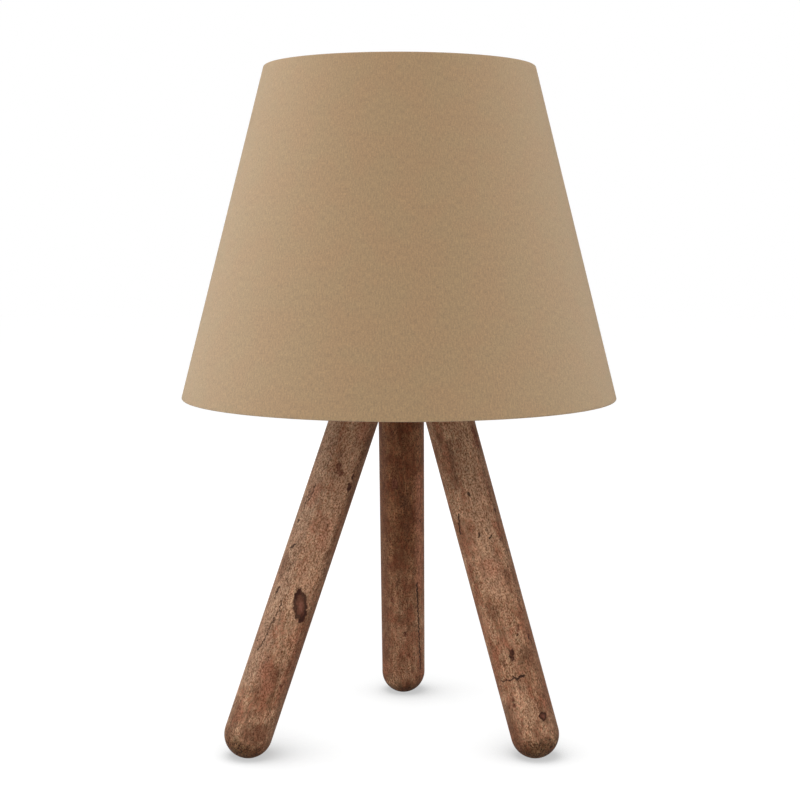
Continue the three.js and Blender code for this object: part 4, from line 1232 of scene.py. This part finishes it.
def cloth_surface():
    """Both faces of the cloth, and which cells of their grid are cloth. The free
    edge of the cloth laps over its start at the back, where the outer face stands
    out by most of a thickness. A window lets each arm out of the upper roll."""
    lap_height = 0.8 * CLOTH_THICKNESS
    window = ARM_RADIUS + FIT_GAP
    window_turn = np.degrees(window / (TOP_WIRE[0] - WRAP_RADIUS))
    turn = cloth_turns([arm + side * window_turn for arm in ARM_TURNS for side in (-1, 1)])
    around = np.radians(turn)
    stand_out = lap_height * smooth_step(turn, LAP_UNDER, LAP_START) * (turn <= LAP_END)

    middle = cloth_line(CLOTH_THICKNESS / 2)
    wire = np.where(middle[:, 1] > (SHADE_FOOT + SHADE_TOP) / 2, TOP_WIRE[0], FOOT_WIRE[0])
    from_cone = middle[:, 0] + (middle[:, 1] - SHADE_FOOT) * np.tan(SLOPE)
    on_face = smooth_step(from_cone, FOOT_WIRE[0], FOOT_WIRE[0] + 2) * (middle[:, 0] > wire)
    outer, inner = cloth_line(0.0)[:, None], cloth_line(CLOTH_THICKNESS)[:, None]
    outer = swung(outer[..., 0] + stand_out * on_face[:, None], around, outer[..., 1])
    inner = swung(inner[..., 0], around, inner[..., 1])

    reach, level = ((middle[:-1] + middle[1:]) / 2).T
    ahead = (turn + (np.roll(turn, -1) - turn) % 360 / 2)[None]
    in_row = ((np.abs(level - TOP_WIRE[1]) < window) & (reach < TOP_WIRE[0]))[:, None]
    in_column = np.min([np.abs(ahead - arm) for arm in ARM_TURNS], axis=0) < window_turn
    return outer, inner, ~(in_row & in_column)


def lining_surface():
    """A thin cone behind the cloth that ends in the folds at both rims."""
    outer = CLOTH_THICKNESS + FIT_GAP
    inner = outer + LINING_THICKNESS
    high = SHADE_TOP - max(TOP_FOLD_RADIUS, outer)
    low = SHADE_FOOT + max(FOOT_FOLD_RADIUS, outer)
    corners = ((inner, low), (outer, low), (outer, high), (inner, high))
    return turned(finely([inside_cone(*corner) for corner in corners], 8.0), sides=240)


def wire_surface(wire):
    """A ring of round wire."""
    angle = full_circle(20)
    return turned(wire + WIRE_RADIUS * np.stack([np.cos(angle), np.sin(angle)], axis=-1), 200)


def bent_line(corners, bend):
    """Straight runs with each inner corner turned by a parabola over the bend."""
    corners = np.asarray(corners, float)
    inner = corners[1:-1]
    enter = inner + unit(corners[:-2] - inner) * bend
    leave = inner + unit(corners[2:] - inner) * bend
    curve = corner_curve(inner, enter, leave, 12).transpose(1, 0, 2).reshape(-1, 3)
    return finely(np.concatenate([corners[:1], curve, corners[-1:]]), 3.0, closed=False)


def arm_surface(turn):
    """One arm: level off the upper wire, down the drop, and level into the carrier."""
    middle, wire_reach, wire_level = CARRIER_LEVEL + CARRIER_THICKNESS / 2, *TOP_WIRE
    upper_run, lower_run, weld_depth, bend = 9, 4, 1, 2.0
    corners = [
        polar(wire_reach, turn, wire_level), polar(wire_reach - upper_run, turn, wire_level),
        polar(CARRIER_RADIUS + lower_run, turn, middle),
        polar(CARRIER_RADIUS - weld_depth, turn, middle),
    ]
    return tube(bent_line(corners, bend), ARM_RADIUS)


def weld_surface(turn):
    """A bead of weld where an arm meets the carrier: a ball stretched along it."""
    half_width, half_length = 1.5, 1.8
    half = bow(np.zeros(2), [half_width, half_length], -np.pi / 2, np.pi / 2, 13)
    place = polar(CARRIER_RADIUS, turn, CARRIER_LEVEL + CARRIER_THICKNESS / 2)
    return laid(turned(half, sides=24), polar(1.0, turn), place)


def carrier_surface():
    """Flat ring that sits on the lampholder's shoulder."""
    return flat_ring(
        CARRIER_BORE_RADIUS, CARRIER_RADIUS, CARRIER_THICKNESS, 0.3, 144, CARRIER_LEVEL)


cloth = sheet_skin("shade_cloth", *cloth_surface())
cloth = piece(cloth, "shade", "tan_fabric", "shade_fabric", crease=60.0)
liner = piece(skin("stiff_liner", lining_surface()), "shade", "white_lining", "shade_lining")
lower_wire, upper_wire = (
    piece(skin(name, wire_surface(wire)), "shade", "white_wire", node)
    for name, wire, node in (
        ("lower_wire", FOOT_WIRE, "shade_bottom_ring"), ("upper_wire", TOP_WIRE, "shade_frame"))
)
# The cloth is cut as a sector of 89.4 degrees between 255 and 460 mm from its tip,
# both hems included, with 8 mm more where its ends lap.
pieces("shade", ("carrier_ring", carrier_surface(), "white_wire", "shade_frame"))
for number, turn in enumerate(ARM_TURNS, 1):
    pieces(
        "shade",
        (f"drop_arm_{number}", arm_surface(turn), "white_wire", "shade_frame"),
        (f"arm_weld_{number}", weld_surface(turn), "white_wire", "shade_frame"),
    )


# ---- bulb ----
def candle_line(inset):
    """Section of the globe, foot to tip: a smooth curve through shares of its half
    width and height. Between two points it is the cubic whose slope at each point
    is that of the line between the points on both sides."""
    shares = np.array([[0.92, 0], [1, 0.16], [0.96, 0.34], [0.8, 0.54], [0.54, 0.74],
                       [0.27, 0.9], [0.1, 0.98], [0, 1]])
    points = shares * [GLOBE_RADIUS - inset, GLOBE_HEIGHT - inset]
    slopes = np.gradient(points, axis=0)
    slopes[-1] = [slopes[-1][0], 0]
    share = np.linspace(0, 1, 10, endpoint=False)[:, None, None]
    start, end, start_slope, end_slope = points[:-1], points[1:], slopes[:-1], slopes[1:]
    curve = ((1 + 2 * share) * (1 - share) ** 2 * start + share * (1 - share) ** 2 * start_slope
             + share**2 * (3 - 2 * share) * end + share**2 * (share - 1) * end_slope)
    line = np.concatenate([curve.transpose(1, 0, 2).reshape(-1, 2), points[-1:]])
    return np.maximum(line, 0)


def globe_surface():
    """Thin opal shell, open where it sits on the collar."""
    wall = 1.2
    outline = np.concatenate([candle_line(wall)[::-1], candle_line(0.0)]) + [0, GLOBE_FOOT]
    return turned(outline, 120, BULB_BASE)


def bulb_cap_surface():
    """Screw cap: a thin cup with the round thread in its side."""
    foot, contact_edge, bowl, wall, mouth = 6.0, 7.35, 10.85, 13.25, 25.5
    outline = [
        [contact_edge, foot], [bowl, foot], [wall, 8.4], [wall, mouth], [wall - 0.5, mouth],
        [11.4, 24.6], [11.4, 8.6], [10.6, 6.5], [contact_edge, 6.5],
    ]
    points = turned(finely(rounded(outline, 0.35), 0.3), 96, BULB_BASE)
    low, high = BULB_BASE + 8.6, BULB_BASE + 23.6
    return threaded(points, wall, BULB_PITCH, 1.0, low, high, round_form=True)


def bulb_collar_surface():
    """Collar: a plug inside the cap and a flare up to the globe."""
    plug_foot, plug, seat, rim, flare = 8.7, 11.1, 25.5, 13.95, 16.1
    return turned(rounded([
        [0, plug_foot], [plug, plug_foot], [plug, seat - 0.6], [rim - 1.5, seat], [rim, seat],
        [rim, seat + 0.7], [flare, GLOBE_FOOT], [0, GLOBE_FOOT],
    ], 0.5, closed=False), 96, BULB_BASE)


def insulator_surface():
    """Glass disc between contact and cap."""
    foot, top, foot_radius, top_radius = 1.6, 6.0, 5.5, 10.85
    outline = [[0, foot], [foot_radius, foot], [top_radius, top], [0, top]]
    return turned(rounded(outline, 0.4, closed=False), 72, BULB_BASE)


def contact_surface():
    """Solder button at the foot of the bulb."""
    radius, depth, top = 4.5, 1.2, 1.6
    latitude = np.radians(np.linspace(-90, 0, 12))
    dome = [radius * np.cos(latitude) ** 0.6, depth + depth * np.sin(latitude)]
    return turned([*np.transpose(dome), [radius, top], [0, top]], 48, BULB_BASE)


globe = skin("opal_globe", globe_surface())
piece(globe, "bulb", "opal_glass", "bulb_globe", crease=60.0)
pieces(
    "bulb",
    ("threaded_cap", bulb_cap_surface(), "nickel", "bulb_cap"),
    ("flared_collar", bulb_collar_surface(), "white_plastic", "bulb_collar"),
    ("glass_insulator", insulator_surface(), "black_plastic", "bulb_insulator"),
    ("solder_contact", contact_surface(), "zinc_steel", "bulb_contact"),
)


# ---- studio ----
def linked(name, data):
    """A new object of the data in the scene."""
    shown = bpy.data.objects.new(name, data)
    bpy.context.scene.collection.objects.link(shown)
    return shown


def seen_directly(nodes):
    """1 for rays from the camera, and those that gloss or glass sends on."""
    rays = nodes.add("ShaderNodeLightPath").outputs
    seen = nodes.math("MAXIMUM", rays["Is Camera Ray"], rays["Is Glossy Ray"])
    return nodes.math("MAXIMUM", seen, rays["Is Transmission Ray"])


def studio_floor():
    """Pale floor. Seen by the camera it adds its own light to what it reflects, so
    that it is white wherever the lamp doesn't shade it. Near the feet that own light
    is dimmed by ambient occlusion leaning to the front left, which paints a soft
    shadow round them. Away from the lamp its own light alone makes it white, so
    that it has no visible end."""
    half, shadow_reach, shadow_lean = 4.0, 0.07, (-0.16, -0.19, 0.97)
    mesh = bpy.data.meshes.new("floor")
    corners = [(-half, -half, 0), (half, -half, 0), (half, half, 0), (-half, half, 0)]
    mesh.from_pydata(corners, [], [(0, 1, 2, 3)])
    floor = linked("floor", mesh)
    material = bpy.data.materials.new("pale_floor")
    material.use_nodes = True
    nodes = Tree(material.node_tree)
    nodes.tree.nodes.remove(nodes.tree.nodes["Principled BSDF"])
    reach = nodes.vector("LENGTH", nodes.add("ShaderNodeTexCoord").outputs["Object"], output=1)
    paint, dim_paint = (
        nodes.add("ShaderNodeBsdfDiffuse", {"Color": rgba(grey, grey, grey)}).outputs[0]
        for grey in (0.8, 0.15))
    inputs = {"Distance": shadow_reach, "Normal": nodes.vector("NORMALIZE", shadow_lean)}
    open_sky = nodes.add("ShaderNodeAmbientOcclusion", inputs, samples=16).outputs["AO"]
    # painted shadow: the floor's own light dims where the leaning occlusion finds the lamp near
    strength = nodes.math(
        "MAXIMUM", nodes.ramp(open_sky, 0.45, 0.98, 0.5, 0.96),
        nodes.ramp(reach, 0.15, 0.3, 0.35, 1.0))
    own = nodes.add("ShaderNodeEmission", {"Color": rgba(1, 1, 1), "Strength": strength})
    shown = nodes.add("ShaderNodeAddShader", {0: dim_paint, 1: own.outputs[0]}).outputs[0]
    mixed = nodes.add("ShaderNodeMixShader", {0: seen_directly(nodes), 1: paint, 2: shown})
    nodes.feed(nodes.tree.nodes["Material Output"].inputs["Surface"], mixed.outputs[0])
    mesh.materials.append(material)


def studio_world():
    """White where it is seen, and no light of its own on the lamp."""
    world = bpy.data.worlds.new("studio")
    bpy.context.scene.world = world
    world.use_nodes = True
    nodes = Tree(world.node_tree)
    background = world.node_tree.nodes["Background"]
    background.inputs["Color"].default_value = rgba(1, 1, 1)
    nodes.feed(background.inputs["Strength"], seen_directly(nodes))


def softbox(name, place, size, power, tint=(1.0, 1.0, 1.0)):
    """Square area lamp at a place in metres, facing the lamp's middle, white or a
    little tinted."""
    data = bpy.data.lights.new(name, "AREA")
    data.shape, data.size, data.size_y, data.energy = "RECTANGLE", size, size, power
    data.color = tint
    toward = unit(np.array(LIT_POINT) - np.array(place))
    side = unit(np.cross(toward, [0.0, 0.0, 1.0]))
    turn = Matrix((side, np.cross(side, toward), -toward)).transposed().to_4x4()
    linked(name, data).matrix_world = Matrix.Translation(place) @ turn


def photo_camera():
    """Camera at the photograph's viewing angle."""
    data = bpy.data.cameras.new("camera")
    data.sensor_width, data.lens = 36.0, 70.56
    camera = linked("camera", data)
    pitch, roll = np.radians(90 - 6.05), np.radians(0.105)
    turn = Matrix.Rotation(pitch, 4, "X") @ Matrix.Rotation(roll, 4, "Z")
    camera.matrix_world = Matrix.Translation((0.0005, -0.795, 0.2583)) @ turn
    bpy.context.scene.camera = camera


studio_floor()
studio_world()
softbox("left_softbox", (-1.19, 0.1, 0.31), 1.0, 10.5, (0.95, 1.02, 1.04))
softbox("front_left_softbox", (-1.09, -0.63, 0.54), 1.0, 2.3)
softbox("front_softbox", (0, -1.07, 1.1), 0.8, 10.6)
softbox("low_front_softbox", (0, -1.455, 0.56), 0.8, 3.0)
softbox("right_softbox", (1.19, 0.1, 0.31), 1.0, 8.0, (0.96, 1.01, 1.01))
softbox("back_softbox", (0, 1.19, 0.5), 1.0, 4.0)
photo_camera()
bpy.context.scene.view_settings.view_transform = "Standard"
